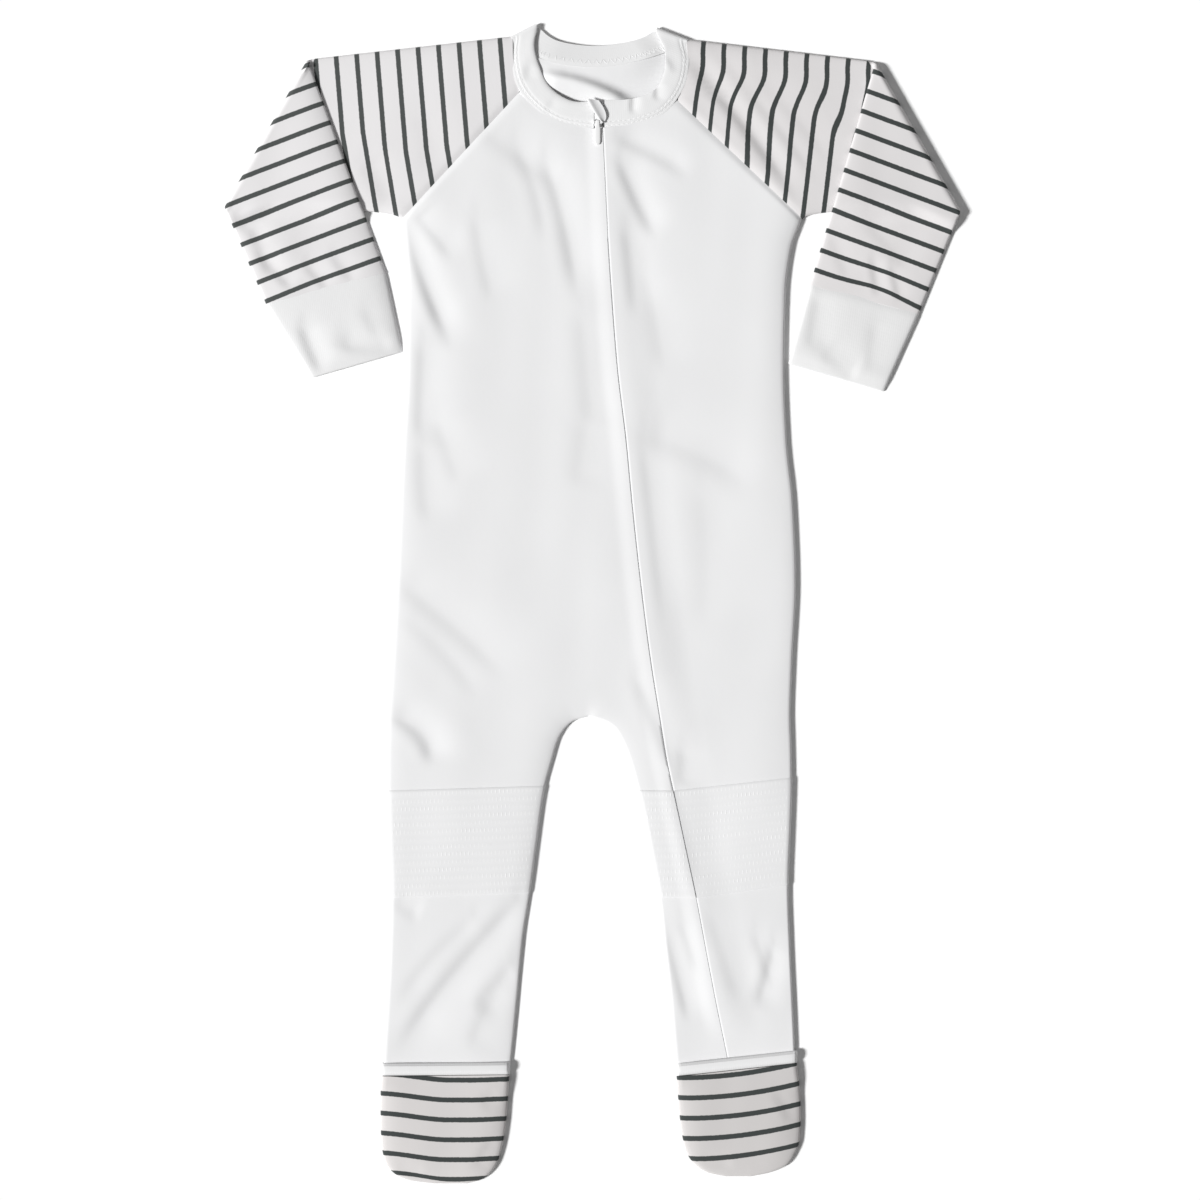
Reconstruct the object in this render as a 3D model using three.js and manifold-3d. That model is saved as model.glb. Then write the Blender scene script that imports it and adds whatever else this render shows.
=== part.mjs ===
// Footed baby sleepsuit laid flat on its back, both forearms folded over the chest side.
// Millimetres, +Z up from the surface, +Y towards the neck, +X towards the side that the zip runs to.
// The origin is on the surface, under the middle of the whole garment.

import * as THREE from "three";
import Module from "manifold-3d";

// Driving dimensions of the cloth
const WALL = 1.2;
const SLEEVE_WALL = 1.1;
const CUFF_WALL = 1.5;
const BAND_WALL = 1.8;
const SEAM_GAP = 0.3;
const CURVED_SEAM_GAP = 0.75;
const RIM_TOP = 2.7;
const CROWN_TOP = 5.2;
const RIM_REACH = 5;

// Sections across the body and legs: outer edges and the zip line
const bodyRows = [
  { name: "underarm", y: 205.4, left: -101.9, zip: 7.7, right: 112.1 },
  { name: "upper chest", y: 190, left: -100, zip: 8.7, right: 106.3 },
  { name: "chest", y: 165, left: -99, zip: 10.4, right: 103.2 },
  { name: "lower chest", y: 125, left: -99.3, zip: 13.6, right: 102.5 },
  { name: "waist", y: 87.5, left: -101.4, zip: 18.1, right: 103.9 },
  { name: "belly", y: 53, left: -103.2, zip: 21.4, right: 107.3 },
  { name: "hip", y: 10.5, left: -105, zip: 26, right: 108.8 },
  { name: "seat", y: -30, left: -107.4, zip: 31.2, right: 106.9 },
  { name: "rise", y: -62, left: -109.4, zip: 36.3, right: 105.9 },
  { name: "thigh", y: -84, left: -109.9, zip: 39.9, right: 106.4 },
  { name: "knee top", y: -100, left: -109.7, zip: 43.3, right: 106.6 },
  { name: "knee", y: -125, left: -109, zip: 48.6, right: 105.9 },
  { name: "knee bottom", y: -157, left: -107.9, zip: 55.4, right: 104.8 },
  { name: "shin", y: -190, left: -108.8, zip: 61.6, right: 105.8 },
  { name: "calf", y: -215, left: -110.1, zip: 66.4, right: 106.9 },
  { name: "ankle", y: -240, left: -111.6, zip: 71.6, right: 108 },
  { name: "leg end", y: -250, left: -112, zip: 73.6, right: 108.3 },
];

// Sections across the gap between the legs
const inseamRows = [
  { name: "crotch", y: -60.6, left: -2.4, right: -2.4 },
  { name: "arch top", y: -62.3, left: -9.4, right: 4.5 },
  { name: "arch shoulder", y: -66, left: -14, right: 10.6 },
  { name: "arch side", y: -73.5, left: -18.4, right: 15.4 },
  { name: "arch foot", y: -84, left: -21.3, right: 19.6 },
  { name: "above knee", y: -104, left: -26.3, right: 25 },
  { name: "knee", y: -130, left: -30, right: 30.4 },
  { name: "below knee", y: -157, left: -33.6, right: 35.3 },
  { name: "shin", y: -180, left: -37.2, right: 38 },
  { name: "calf", y: -212, left: -40.4, right: 41.4 },
  { name: "ankle", y: -240, left: -43.2, right: 43.8 },
  { name: "leg end", y: -250, left: -44.3, right: 44.6 },
];

// Rows of each foot cover, from its bound edge to the toe
const footRows = {
  left: [
    { y: -252, left: -112.5, right: -44.4 },
    { y: -262, left: -113.3, right: -45 },
    { y: -276, left: -113.3, right: -46 },
    { y: -290, left: -112.6, right: -48.2 },
    { y: -299, left: -110.5, right: -51 },
    { y: -304.5, left: -106, right: -54.8 },
    { y: -308.2, left: -98, right: -60 },
    { y: -310, left: -85, right: -67 },
  ],
  right: [
    { y: -249, left: 44.9, right: 109.2 },
    { y: -262, left: 45.8, right: 110.8 },
    { y: -276, left: 47, right: 111.4 },
    { y: -288, left: 48.9, right: 110.7 },
    { y: -295, left: 51.4, right: 108 },
    { y: -300, left: 55.5, right: 104.4 },
    { y: -304, left: 61.5, right: 96 },
    { y: -306.2, left: 71, right: 85 },
  ],
};
const footTilt = { left: 0.6, right: 7 };
const FOOT_BACK_TOP = -246.3;
const FOOT_MOUTH_TOP = 4.9;
const BINDING_WIDTH = 6.8;
const BINDING_WALL = 1.4;

// Sections across the neckband, from the zip round the left, back and right to the zip again
const neckSections = {
  frontLeft: [
    { name: "zip end", seam: [-0.8, 252.2], edge: [-0.8, 268.1] },
    { name: "lower curve", seam: [-19.5, 256.9], edge: [-11, 268.3] },
    { name: "upper curve", seam: [-32.9, 266.4], edge: [-22.7, 275.8] },
    { name: "side", seam: [-40.4, 276.4], edge: [-28.1, 286.5] },
    { name: "shoulder", seam: [-43.1, 289], edge: [-30.8, 296.6] },
    { name: "fold", seam: [-43.6, 303.1], edge: [-30.2, 310] },
  ],
  back: [
    { name: "left fold", seam: [-43.6, 303.1], edge: [-30.2, 310] },
    { name: "left slope", seam: [-36.6, 295.1], edge: [-23.8, 303.6] },
    { name: "left curve", seam: [-27.6, 290.2], edge: [-17.4, 300.4] },
    { name: "middle", seam: [0.8, 286], edge: [0.8, 298] },
    { name: "right curve", seam: [24.9, 289.7], edge: [19, 300.1] },
    { name: "right slope", seam: [40.4, 295.1], edge: [28.1, 303.1] },
    { name: "right fold", seam: [51.1, 301.5], edge: [34.5, 307.9] },
  ],
  frontRight: [
    { name: "fold", seam: [51.1, 301.5], edge: [34.5, 307.9] },
    { name: "shoulder", seam: [51.6, 289.5], edge: [38.6, 294.5] },
    { name: "side", seam: [48.6, 275.3], edge: [38, 282.7] },
    { name: "upper curve", seam: [37.7, 261], edge: [32.4, 273.6] },
    { name: "lower curve", seam: [21.7, 254.9], edge: [20.7, 269.4] },
    { name: "zip end", seam: [6.4, 252.8], edge: [6.4, 268.8] },
  ],
};
const BAND_PROUD = 0.7;
const BAND_LIFT = 0.9;
const BAND_SETTLE = 30;
const BAND_AXIS = BAND_WALL + 0.25;

// Sleeves: corners of the upper arm, its crease, the wrist seam and the cuff's hem
const sleeves = [
  {
    side: "left",
    neck: [-43.6, 303.1],
    raglanX: -38,
    underarm: [-101.9, 205.4],
    creaseTop: [-152.2, 290.8],
    creaseEnd: [-196.6, 211.6],
    wristIn: [-110.7, 177.6],
    wristOut: [-174.6, 160.2],
    hemIn: [-101.4, 134.6],
    hemOut: [-150.1, 120.6],
  },
  {
    side: "right",
    neck: [51.1, 301.5],
    raglanX: 44.2,
    underarm: [112.1, 205.4],
    creaseTop: [151.1, 289.6],
    creaseEnd: [196.6, 209.7],
    wristIn: [116.4, 170.8],
    wristOut: [174.5, 155],
    hemIn: [104.6, 128.1],
    hemOut: [155.7, 113.2],
  },
];
const RAGLAN_SHARE = 0.72;
const UNDERARM_RISE = 3;
const CREASE_CROWN = 3;
const CREASE_AXIS = 3.2;
const CREASE_SETTLE = 80;
const FOREARM_GAP = 0.4;
const FOREARM_CROWN = 3.5;
const FOREARM_RIM = 2.7;
const DROP_START = 3;
const DROP_END = 19;
const CUFF_CROWN = 4.3;
const CUFF_RIM = 3.4;

// Largest folds of the fronts: from, over and to a place, with depth below the cloth and half width
const folds = [
  { name: "underarm pull", from: [-100.9, 206.8], over: [-90, 174], to: [-78.9, 141], depth: 1.5, width: 6 },
  { name: "underarm short", from: [-92.8, 208.4], over: [-87, 203], to: [-82.1, 197.7], depth: 0.7, width: 4.5 },
  { name: "left side", from: [-89.6, 108.9], over: [-92.3, 76], to: [-86.9, 44.7], depth: 0.6, width: 7 },
  { name: "left waist", from: [-81.6, 98.2], over: [-76, 82], to: [-68.2, 66.1], depth: 0.5, width: 6 },
  { name: "left hip", from: [-103, 12.6], over: [-74, -8], to: [-41.5, -40.9], depth: 0.9, width: 8 },
  { name: "left thigh", from: [-106.7, -59.7], over: [-84.3, -70], to: [-85.3, -86.4], depth: 1.2, width: 5.5 },
  { name: "left shin", from: [-38.8, -161.3], over: [-80, -202], to: [-105.1, -240], depth: 1, width: 6.5 },
  { name: "left calf", from: [-41.5, -198.8], over: [-52, -207], to: [-60.2, -217.5], depth: 0.7, width: 5.5 },
  { name: "chest left", from: [-17.4, 237.3], over: [-11, 200], to: [-6.7, 162.4], depth: 0.5, width: 9 },
  { name: "chest right", from: [17.4, 237.3], over: [27, 200], to: [33.4, 167.7], depth: 0.6, width: 9 },
  { name: "beside zip", from: [28.1, 81.6], over: [33.5, 45], to: [40.4, -19.5], depth: 0.8, width: 6 },
  { name: "right side", from: [30, 90.1], over: [58, 84.8], to: [89.6, 66.1], depth: 0.6, width: 9 },
  { name: "right thigh", from: [28.1, -46.3], over: [42, -68], to: [46.8, -89.1], depth: 0.6, width: 6 },
  { name: "right knee", from: [52, -105.1], over: [64, -145], to: [79, -201.4], depth: 0.8, width: 6 },
  { name: "right inseam", from: [37.2, -174.7], over: [46.8, -212.1], to: [49.5, -233.5], depth: 0.7, width: 5 },
  { name: "right shin", from: [97.6, -184], over: [93, -200], to: [87, -216], depth: 0.8, width: 6 },
];

// Ends of the legs, pressed down where they go into the foot covers
const legEnds = {
  left: { start: -218, end: -242 },
  right: { start: -210, end: -234 },
};
const LEG_END_CROWN = 3.3;
const LEG_END = -249;
const BACK_END = -246;

// Grid of the fronts
const YOKE_Y = 196;
const CROTCH_Y = -60.6;
const YOKE_STEPS = 8;
const TORSO_STEPS = 20;
const archRows = [-62.3, -66, -73.5, -82, -91];
const KNEE_TOP = -99.9;
const KNEE_BOTTOM = -157.3;
const KNEE_STEPS = 7;
const SHIN_STEPS = 9;
const leftShares = [0, 0.035, 0.12, 0.245, 0.36, 0.475, 0.596, 0.665, 0.7374, 0.82, 0.91, 1];
const SPLIT_COLUMN = 8;
const rightShares = [0, 0.1, 0.19, 0.27, 0.42, 0.57, 0.74, 0.88, 0.96, 1];
const PLACKET_WIDTH = 7;
const PLACKET_FADE = 13.5;
const PLACKET_RISE = 1.5;
const PLACKET_UNDERLAP = 5;
const UNDERLAP_FADE = { start: -196, end: -214 };
const PLACKET_END = { start: -216, end: -236 };
const TURNED_EDGE = 0.8;
const kneeTilt = { left: 2.3, right: 7 };
const LEFT_TILT = { start: -60, full: -98, fade: -160, end: -235 };
const RIGHT_TILT = { start: -40, full: -95 };

// Knee patches: quilted rows over the panels
const PATCH_WALL = 0.7;
const QUILT_RISE = 0.35;
const ROWS_PER_STEP = 2;

// Zip: tape with its closed coil, slider, pull tab and the guard folded over its top
const TAPE = { wall: 0.6, left: 6, right: 10, top: 266.5, bottom: -221, steps: 34 };
const SLIDER = { x: 2.9, low: 254.2, high: 263.4, width: 5.4, bottom: 4.1, top: 5.5 };
const LUG = { thick: 0.8, low: 255.6, high: 258, top: 7.3 };
const PULL = { x: 2.65, y: 256.8, z: 6.55, length: 12.2, width: 3.3, eyeWidth: 2.4, thick: 0.9, eyeRadius: 0.75 };
const guardOutline = [
  { name: "inside left", at: [-3.2, 268] },
  { name: "inside right", at: [2.9, 267.6] },
  { name: "right bend", at: [6.6, 262] },
  { name: "right end", at: [7.4, 258.8] },
  { name: "tip", at: [6.2, 257.2] },
  { name: "left edge", at: [0.8, 262.1] },
];
const GUARD = { bottom: 7.5, wall: 1 };

// Colours of the cloth and the trim
const WHITE_KNIT = { color: 0xefeff0, roughness: 0.9, metalness: 0 };
const WHITE_RIB = { color: 0xf3f3f3, roughness: 0.88, metalness: 0 };
const STRIPED_KNIT = { color: 0xe9e4e5, roughness: 0.9, metalness: 0 };
const FOOT_KNIT = { color: 0xdcd6d5, roughness: 0.9, metalness: 0 };
const ZIP_TAPE = { color: 0xf4f4f4, roughness: 0.75, metalness: 0 };
const ENAMEL = { color: 0xf6f6f6, roughness: 0.35, metalness: 0.2 };

const mix = (a, b, share) => a + (b - a) * share;
const clamp = (value) => Math.min(1, Math.max(0, value));
const plan = ([x, y]) => new THREE.Vector2(x, y);

/** Smooth step from 0 at low to 1 at high. */
function ease(low, high, value) {
  const share = clamp((value - low) / (high - low));
  return share * share * (3 - 2 * share);
}

/** Smooth curve through one column of a table, read at a height y, without overshoot. */
function sectionReader(rows, column) {
  const ys = rows.map((row) => row.y);
  const values = rows.map((row) => row[column]);
  const slopes = values.slice(1).map((value, i) => (value - values[i]) / (ys[i + 1] - ys[i]));
  const tangents = values.map((_, i) => {
    if (i === 0) return slopes[0];
    if (i === values.length - 1) return slopes[i - 1];
    const [before, after] = [slopes[i - 1], slopes[i]];
    return before * after <= 0 ? 0 : (2 * before * after) / (before + after);
  });
  return (y) => {
    let i = ys.findIndex((value, k) => k > 0 && y >= value);
    if (i < 0) i = ys.length - 1;
    const span = ys[i] - ys[i - 1];
    const t = clamp((y - ys[i - 1]) / span);
    const [t2, t3] = [t * t, t * t * t];
    return (
      (2 * t3 - 3 * t2 + 1) * values[i - 1] +
      (t3 - 2 * t2 + t) * span * tangents[i - 1] +
      (3 * t2 - 2 * t3) * values[i] +
      (t3 - t2) * span * tangents[i]
    );
  };
}

const leftEdge = sectionReader(bodyRows, "left");
const rightEdge = sectionReader(bodyRows, "right");
const zipLine = sectionReader(bodyRows, "zip");
const leftInseam = sectionReader(inseamRows, "left");
const rightInseam = sectionReader(inseamRows, "right");

/** Distance in plan from a point to a line of points, and how far along the line it falls, 0 to 1. */
function nearest(point, line) {
  let best = { distance: Infinity, share: 0 };
  for (let i = 1; i < line.length; i += 1) {
    const step = line[i].clone().sub(line[i - 1]);
    const along = clamp(point.clone().sub(line[i - 1]).dot(step) / step.lengthSq());
    const distance = line[i - 1].clone().addScaledVector(step, along).distanceTo(point);
    if (distance < best.distance) best = { distance, share: (i - 1 + along) / (line.length - 1) };
  }
  return best;
}

/** Line of plan points down one edge of the body or the legs. */
function edgeLine(reader, top, bottom, steps) {
  return Array.from({ length: steps + 1 }, (_, i) => {
    const y = mix(top, bottom, i / steps);
    return new THREE.Vector2(reader(y), y);
  });
}

/** Where the cloth of the fronts and upper arms rolls down to the seams and folds at its edge. */
const rimLines = [
  edgeLine(leftEdge, 205.4, LEG_END, 30),
  edgeLine(rightEdge, 205.4, LEG_END, 30),
  inseamRows.map((row) => new THREE.Vector2(row.left, row.y)),
  inseamRows.map((row) => new THREE.Vector2(row.right, row.y)),
  ...sleeves.map((sleeve) => [plan(sleeve.neck), plan(sleeve.creaseTop)]),
  ...sleeves.map((sleeve) => undersideLine(sleeve, 6)),
];

// Shares of a fold's length over which it deepens and dies out
const FOLD_FADE = { lead: 0.12, begin: 0.13, finish: 0.3 };

const foldLines = folds.map((fold) => {
  const curve = new THREE.QuadraticBezierCurve(plan(fold.from), plan(fold.over), plan(fold.to));
  return { ...fold, line: curve.getPoints(8) };
});

/** Depth of all folds together at a place, each fading out towards its two ends. */
function foldDepth(point) {
  return foldLines.reduce((total, fold) => {
    const { distance, share } = nearest(point, fold.line);
    const fade = ease(-FOLD_FADE.lead, FOLD_FADE.begin, share) * ease(0, FOLD_FADE.finish, 1 - share);
    return total + fold.depth * fade * Math.exp(-((distance / fold.width) ** 2));
  }, 0);
}

/** Unit plan vectors of a sleeve's crease: down along it, and inward from it towards the neck. */
function creaseFrame(sleeve) {
  const down = plan(sleeve.creaseEnd).sub(plan(sleeve.creaseTop)).normalize();
  const inward = new THREE.Vector2(-down.y, down.x);
  if (inward.dot(plan(sleeve.neck).sub(plan(sleeve.creaseTop))) < 0) inward.negate();
  return { down, inward };
}

/** Height of the flat cloth's top away from its edges: lower at the creases and at the leg ends. */
function crownTop(point) {
  let crown = CROWN_TOP;
  for (const sleeve of sleeves) {
    const depth = point.clone().sub(plan(sleeve.creaseTop)).dot(creaseFrame(sleeve).inward);
    crown = Math.min(crown, mix(CREASE_CROWN, CROWN_TOP, ease(0, CREASE_SETTLE, depth)));
  }
  const { start, end } = point.x < 0 ? legEnds.left : legEnds.right;
  return mix(crown, LEG_END_CROWN, ease(-start, -end, -point.y));
}

/** Top of the first layer of cloth at a place: crown, less the roll to the edges and the folds. */
function clothTop(point) {
  const distance = Math.min(...rimLines.map((line) => nearest(point, line).distance));
  const inside = 1 - Math.exp(-distance / RIM_REACH);
  return RIM_TOP + (crownTop(point) - RIM_TOP) * inside - foldDepth(point) * inside;
}

/** Underside of an upper arm, from the underarm to the crease, with its slight rise. */
function undersideLine(sleeve, steps) {
  return Array.from({ length: steps + 1 }, (_, i) => undersideAt(sleeve, i / steps));
}

/** Place on the underside edge of an upper arm at a share of its length. */
function undersideAt(sleeve, share) {
  const rise = UNDERARM_RISE * Math.sin(Math.PI * Math.sqrt(share));
  const point = plan(sleeve.underarm).lerp(plan(sleeve.creaseEnd), share);
  point.y += rise;
  return point;
}

/** One closed wall between an outer and an inner skin that share a face list. */
function wallGeometry(outer, inner, faces) {
  const count = outer.length;
  const index = [];
  const edges = new Map();
  for (const [a, b, c] of faces) {
    index.push(a, b, c, a + count, c + count, b + count);
    for (const [from, to] of [[a, b], [b, c], [c, a]]) edges.set(`${from} ${to}`, [from, to]);
  }
  for (const [from, to] of edges.values()) {
    if (edges.has(`${to} ${from}`)) continue;
    index.push(to, from, from + count, to, from + count, to + count);
  }
  const geometry = new THREE.BufferGeometry();
  const positions = [...outer, ...inner].flatMap((point) => point.toArray());
  geometry.setAttribute("position", new THREE.Float32BufferAttribute(positions, 3));
  geometry.setIndex(index);
  geometry.computeVertexNormals();
  return geometry;
}

/** Two faces for each cell of a grid whose rows run down the garment and columns to the right. */
function gridFaces(rowCount, columnCount, vertexAt) {
  const faces = [];
  for (let i = 0; i < rowCount; i += 1) {
    for (let j = 0; j < columnCount; j += 1) {
      const [a, b] = [vertexAt(i, j), vertexAt(i, j + 1)];
      const [c, d] = [vertexAt(i + 1, j + 1), vertexAt(i + 1, j)];
      faces.push([a, d, c], [a, c, b]);
    }
  }
  return faces;
}

/** Panel of one grid of plan points with a height for each, as a wall of even thickness. */
function panelGeometry(grid, topAt, wall) {
  const columns = grid[0].length;
  const outer = grid.flat().map((point) => new THREE.Vector3(point.x, point.y, topAt(point)));
  const inner = outer.map((point) => point.clone().setZ(point.z - wall));
  const faces = gridFaces(grid.length - 1, columns - 1, (i, j) => i * columns + j);
  return wallGeometry(outer, inner, faces);
}

// Neckband sections
/** Smooth run of neckband sections through a table, as equal steps of its index. */
function bandRun(rows, steps) {
  const curve = (key) => new THREE.CatmullRomCurve3(
    rows.map((row) => new THREE.Vector3(...row[key], 0)), false, "centripetal");
  const [seam, edge] = [curve("seam"), curve("edge")];
  return Array.from({ length: steps + 1 }, (_, i) => {
    const [s, e] = [seam.getPoint(i / steps), edge.getPoint(i / steps)];
    return { seam: new THREE.Vector2(s.x, s.y), edge: new THREE.Vector2(e.x, e.y) };
  });
}

/** Outward plan direction across the fold of the band at a shoulder. */
function foldNormal(section) {
  const along = section.edge.clone().sub(section.seam).normalize();
  const normal = new THREE.Vector2(-along.y, along.x);
  return normal.y < 0 ? normal.negate() : normal;
}

/** Back run of the band, drawn in at both folds by the radius that it turns with there. */
function settledBack(run) {
  const last = run.length - 1;
  return run.map((section, i) => {
    const near = [1, 0.4, 0][Math.min(2, i, last - i)];
    const inset = foldNormal(i < last / 2 ? run[0] : run[last]).multiplyScalar(-BAND_AXIS * near);
    return { seam: section.seam.clone().add(inset), edge: section.edge.clone().add(inset) };
  });
}

const bandFrontLeft = bandRun(neckSections.frontLeft, 12);
const bandBackFlat = bandRun(neckSections.back, 12);
const bandBack = settledBack(bandBackFlat);
const bandFrontRight = bandRun(neckSections.frontRight, 12);

/** Reads one coordinate of a line of plan points against the other, straight between points. */
function lineReader(line, from, to) {
  const sorted = [...line].sort((p, q) => p[from] - q[from]);
  return (value) => {
    let i = sorted.findIndex((point) => point[from] >= value);
    if (i < 0) i = sorted.length - 1;
    i = Math.max(1, i);
    const [p, q] = [sorted[i - 1], sorted[i]];
    return mix(p[to], q[to], clamp((value - p[from]) / (q[from] - p[from])));
  };
}

/** Line beside the band's seam, a seam's gap away from it on the panels' side. */
function besideSeam(run) {
  return run.map(({ seam, edge }) => {
    const away = seam.clone().sub(edge).normalize();
    return seam.clone().addScaledVector(away, CURVED_SEAM_GAP);
  });
}

const neckSeam = {
  leftByX: lineReader(besideSeam(bandFrontLeft).slice(0, 10), "x", "y"),
  rightByX: lineReader(besideSeam(bandFrontRight).slice(3), "x", "y"),
  leftByY: lineReader(besideSeam(bandFrontLeft), "y", "x"),
  rightByY: lineReader(besideSeam(bandFrontRight), "y", "x"),
  backByX: lineReader(besideSeam(bandBack), "x", "y"),
};

/** Where a sleeve's front raglan seam meets the neckband. */
function raglanTop(sleeve) {
  const byX = sleeve.side === "left" ? neckSeam.leftByX : neckSeam.rightByX;
  return new THREE.Vector2(sleeve.raglanX, byX(sleeve.raglanX));
}

// Fronts
/** Heights of the grid's rows below the yoke, and the row where the legs part. */
function frontLevels() {
  const levels = [];
  for (let i = 0; i <= TORSO_STEPS; i += 1) levels.push(mix(YOKE_Y, CROTCH_Y, i / TORSO_STEPS));
  levels.push(...archRows);
  for (let i = 0; i <= KNEE_STEPS; i += 1) levels.push(mix(KNEE_TOP, KNEE_BOTTOM, i / KNEE_STEPS));
  for (let i = 1; i <= SHIN_STEPS; i += 1) levels.push(mix(KNEE_BOTTOM, LEG_END, i / SHIN_STEPS));
  return levels;
}

const levels = frontLevels();
const splitRow = YOKE_STEPS + TORSO_STEPS;
const kneeRow = splitRow + archRows.length + 1;

/** Top edge of the left front: the raglan seam, then the neck seam to the zip. */
function leftFrontTop(x) {
  const [low, high] = [plan(sleeves[0].underarm), raglanTop(sleeves[0])];
  if (x <= high.x) return mix(low.y, high.y, (x - low.x) / (high.x - low.x));
  return neckSeam.leftByX(x);
}

/** Top edge of the right front: the neck seam from the zip, then the raglan seam. */
function rightFrontTop(x) {
  const [low, high] = [plan(sleeves[1].underarm), raglanTop(sleeves[1])];
  if (x >= high.x) return mix(low.y, high.y, (x - low.x) / (high.x - low.x));
  return neckSeam.rightByX(x);
}

const zipTop = new THREE.Vector2(5.6, 251.6);

/** Plan point of the left front's grid; side is the leg that a parted column belongs to. */
function leftFrontPoint(row, column, side) {
  const underlap = column === leftShares.length;
  const share = underlap ? 1 : leftShares[column];
  if (row <= YOKE_STEPS) {
    const low = new THREE.Vector2(mix(leftEdge(YOKE_Y), zipLine(YOKE_Y) - SEAM_GAP, share), YOKE_Y);
    const high = new THREE.Vector2(mix(sleeves[0].underarm[0], zipTop.x - SEAM_GAP, share), 0);
    if (underlap) {
      low.x += PLACKET_UNDERLAP;
      high.x += PLACKET_UNDERLAP;
    }
    high.y = leftFrontTop(high.x);
    return high.lerp(low, row / YOKE_STEPS);
  }
  const y = levels[row - YOKE_STEPS];
  const faded = ease(-UNDERLAP_FADE.start, -UNDERLAP_FADE.end, -y);
  const seen = zipLine(y) - SEAM_GAP - TURNED_EDGE * faded;
  const zip = zipLine(y) + mix(PLACKET_UNDERLAP, -SEAM_GAP, faded);
  if (row <= splitRow) return new THREE.Vector2(underlap ? zip : mix(leftEdge(y), seen, share), y);
  const parting = leftShares[SPLIT_COLUMN];
  if (side === "left") {
    const across = share / parting;
    const begun = ease(-LEFT_TILT.start, -LEFT_TILT.full, -y);
    const tilt = kneeTilt.left * begun * (1 - ease(-LEFT_TILT.fade, -LEFT_TILT.end, -y));
    return new THREE.Vector2(mix(leftEdge(y), leftInseam(y), across), y + tilt * across);
  }
  if (underlap) return new THREE.Vector2(zip, y);
  const across = (share - parting) / (1 - parting);
  return new THREE.Vector2(mix(rightInseam(y), seen, across), y);
}

/** Plan point of the right front's grid; its first columns keep the placket's width. */
function rightFrontPoint(row, column) {
  const placket = [0, PLACKET_WIDTH];
  const share = column < placket.length ? 0 : rightShares[column - placket.length];
  const offset = column < placket.length ? placket[column] : PLACKET_FADE;
  const across = (zip, edge) => mix(zip + offset, edge, share);
  if (row <= YOKE_STEPS) {
    const low = new THREE.Vector2(across(zipLine(YOKE_Y), rightEdge(YOKE_Y)), YOKE_Y);
    const high = new THREE.Vector2(across(zipTop.x, sleeves[1].underarm[0]), 0);
    high.y = rightFrontTop(high.x);
    return high.lerp(low, row / YOKE_STEPS);
  }
  const y = levels[row - YOKE_STEPS];
  const x = across(zipLine(y), rightEdge(y));
  const tilt = kneeTilt.right * ease(-RIGHT_TILT.start, -RIGHT_TILT.full, -y);
  return new THREE.Vector2(x, y + (tilt * (x - zipLine(y))) / (rightEdge(y) - zipLine(y)));
}

/** Height of the right front: the cloth, with the placket raised over the zip. */
function rightFrontTopAt(point) {
  const zip = point.y > YOKE_Y ? mix(zipLine(YOKE_Y), zipTop.x, (point.y - YOKE_Y) / (zipTop.y - YOKE_Y))
    : zipLine(point.y);
  const raised = 1 - ease(PLACKET_WIDTH, PLACKET_FADE, point.x - zip);
  const ended = 1 - ease(-PLACKET_END.start, -PLACKET_END.end, -point.y);
  return clothTop(point) + PLACKET_RISE * raised * ended;
}

/** Outer skin and faces of the left front, whose legs part at one column. */
function leftFrontSkin() {
  const outer = [];
  const ids = new Map();
  const rowCount = YOKE_STEPS + levels.length - 1;
  const vertexAt = (row, column, side) => {
    const parted = row > splitRow && column === SPLIT_COLUMN;
    const key = `${row} ${column}${parted ? side : ""}`;
    if (!ids.has(key)) {
      const point = leftFrontPoint(row, column, side);
      ids.set(key, outer.push(new THREE.Vector3(point.x, point.y, clothTop(point))) - 1);
    }
    return ids.get(key);
  };
  const across = leftShares.length;
  const faces = [
    ...gridFaces(rowCount, SPLIT_COLUMN, (i, j) => vertexAt(i, j, "left")),
    ...gridFaces(rowCount, across - SPLIT_COLUMN, (i, j) => vertexAt(i, SPLIT_COLUMN + j, "right")),
  ];
  return { outer, faces, vertexAt };
}

/** Grid of plan points of the right front. */
function rightFrontGrid() {
  const rowCount = YOKE_STEPS + levels.length;
  const columnCount = rightShares.length + 2;
  return Array.from({ length: rowCount }, (_, i) =>
    Array.from({ length: columnCount }, (_unused, j) => rightFrontPoint(i, j)));
}

/** Knee patch made from a panel's points moved out, with raised quilted rows over a plain inside. */
function patchGeometry(rowPoints) {
  const outer = [];
  const inner = [];
  const columns = rowPoints[0].length;
  const subRows = 2 * ROWS_PER_STEP;
  const last = (rowPoints.length - 1) * subRows;
  for (let i = 0; i <= last; i += 1) {
    const row = Math.min(rowPoints.length - 2, Math.floor(i / subRows));
    const share = i / subRows - row;
    const ridge = i % 2 === 1 ? QUILT_RISE : 0;
    for (let j = 0; j < columns; j += 1) {
      const base = rowPoints[row][j].clone().lerp(rowPoints[row + 1][j], share);
      inner.push(base.clone().setZ(base.z + SEAM_GAP));
      outer.push(base.clone().setZ(base.z + SEAM_GAP + PATCH_WALL + ridge));
    }
  }
  return wallGeometry(outer, inner, gridFaces(last, columns - 1, (i, j) => i * columns + j));
}

// Back
const BACK_SPLIT = 0.4906;
const backShares = [0, 0.06, 0.16, 0.272, 0.31, 0.36, 0.42, BACK_SPLIT, 0.56, 0.62, 0.67, 0.715, 0.84, 0.94, 1];
const backRows = {
  torso: [160, 120, 80, 40, 0, -32],
  legs: [-110, -130, -157, -185, -215],
};

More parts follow.
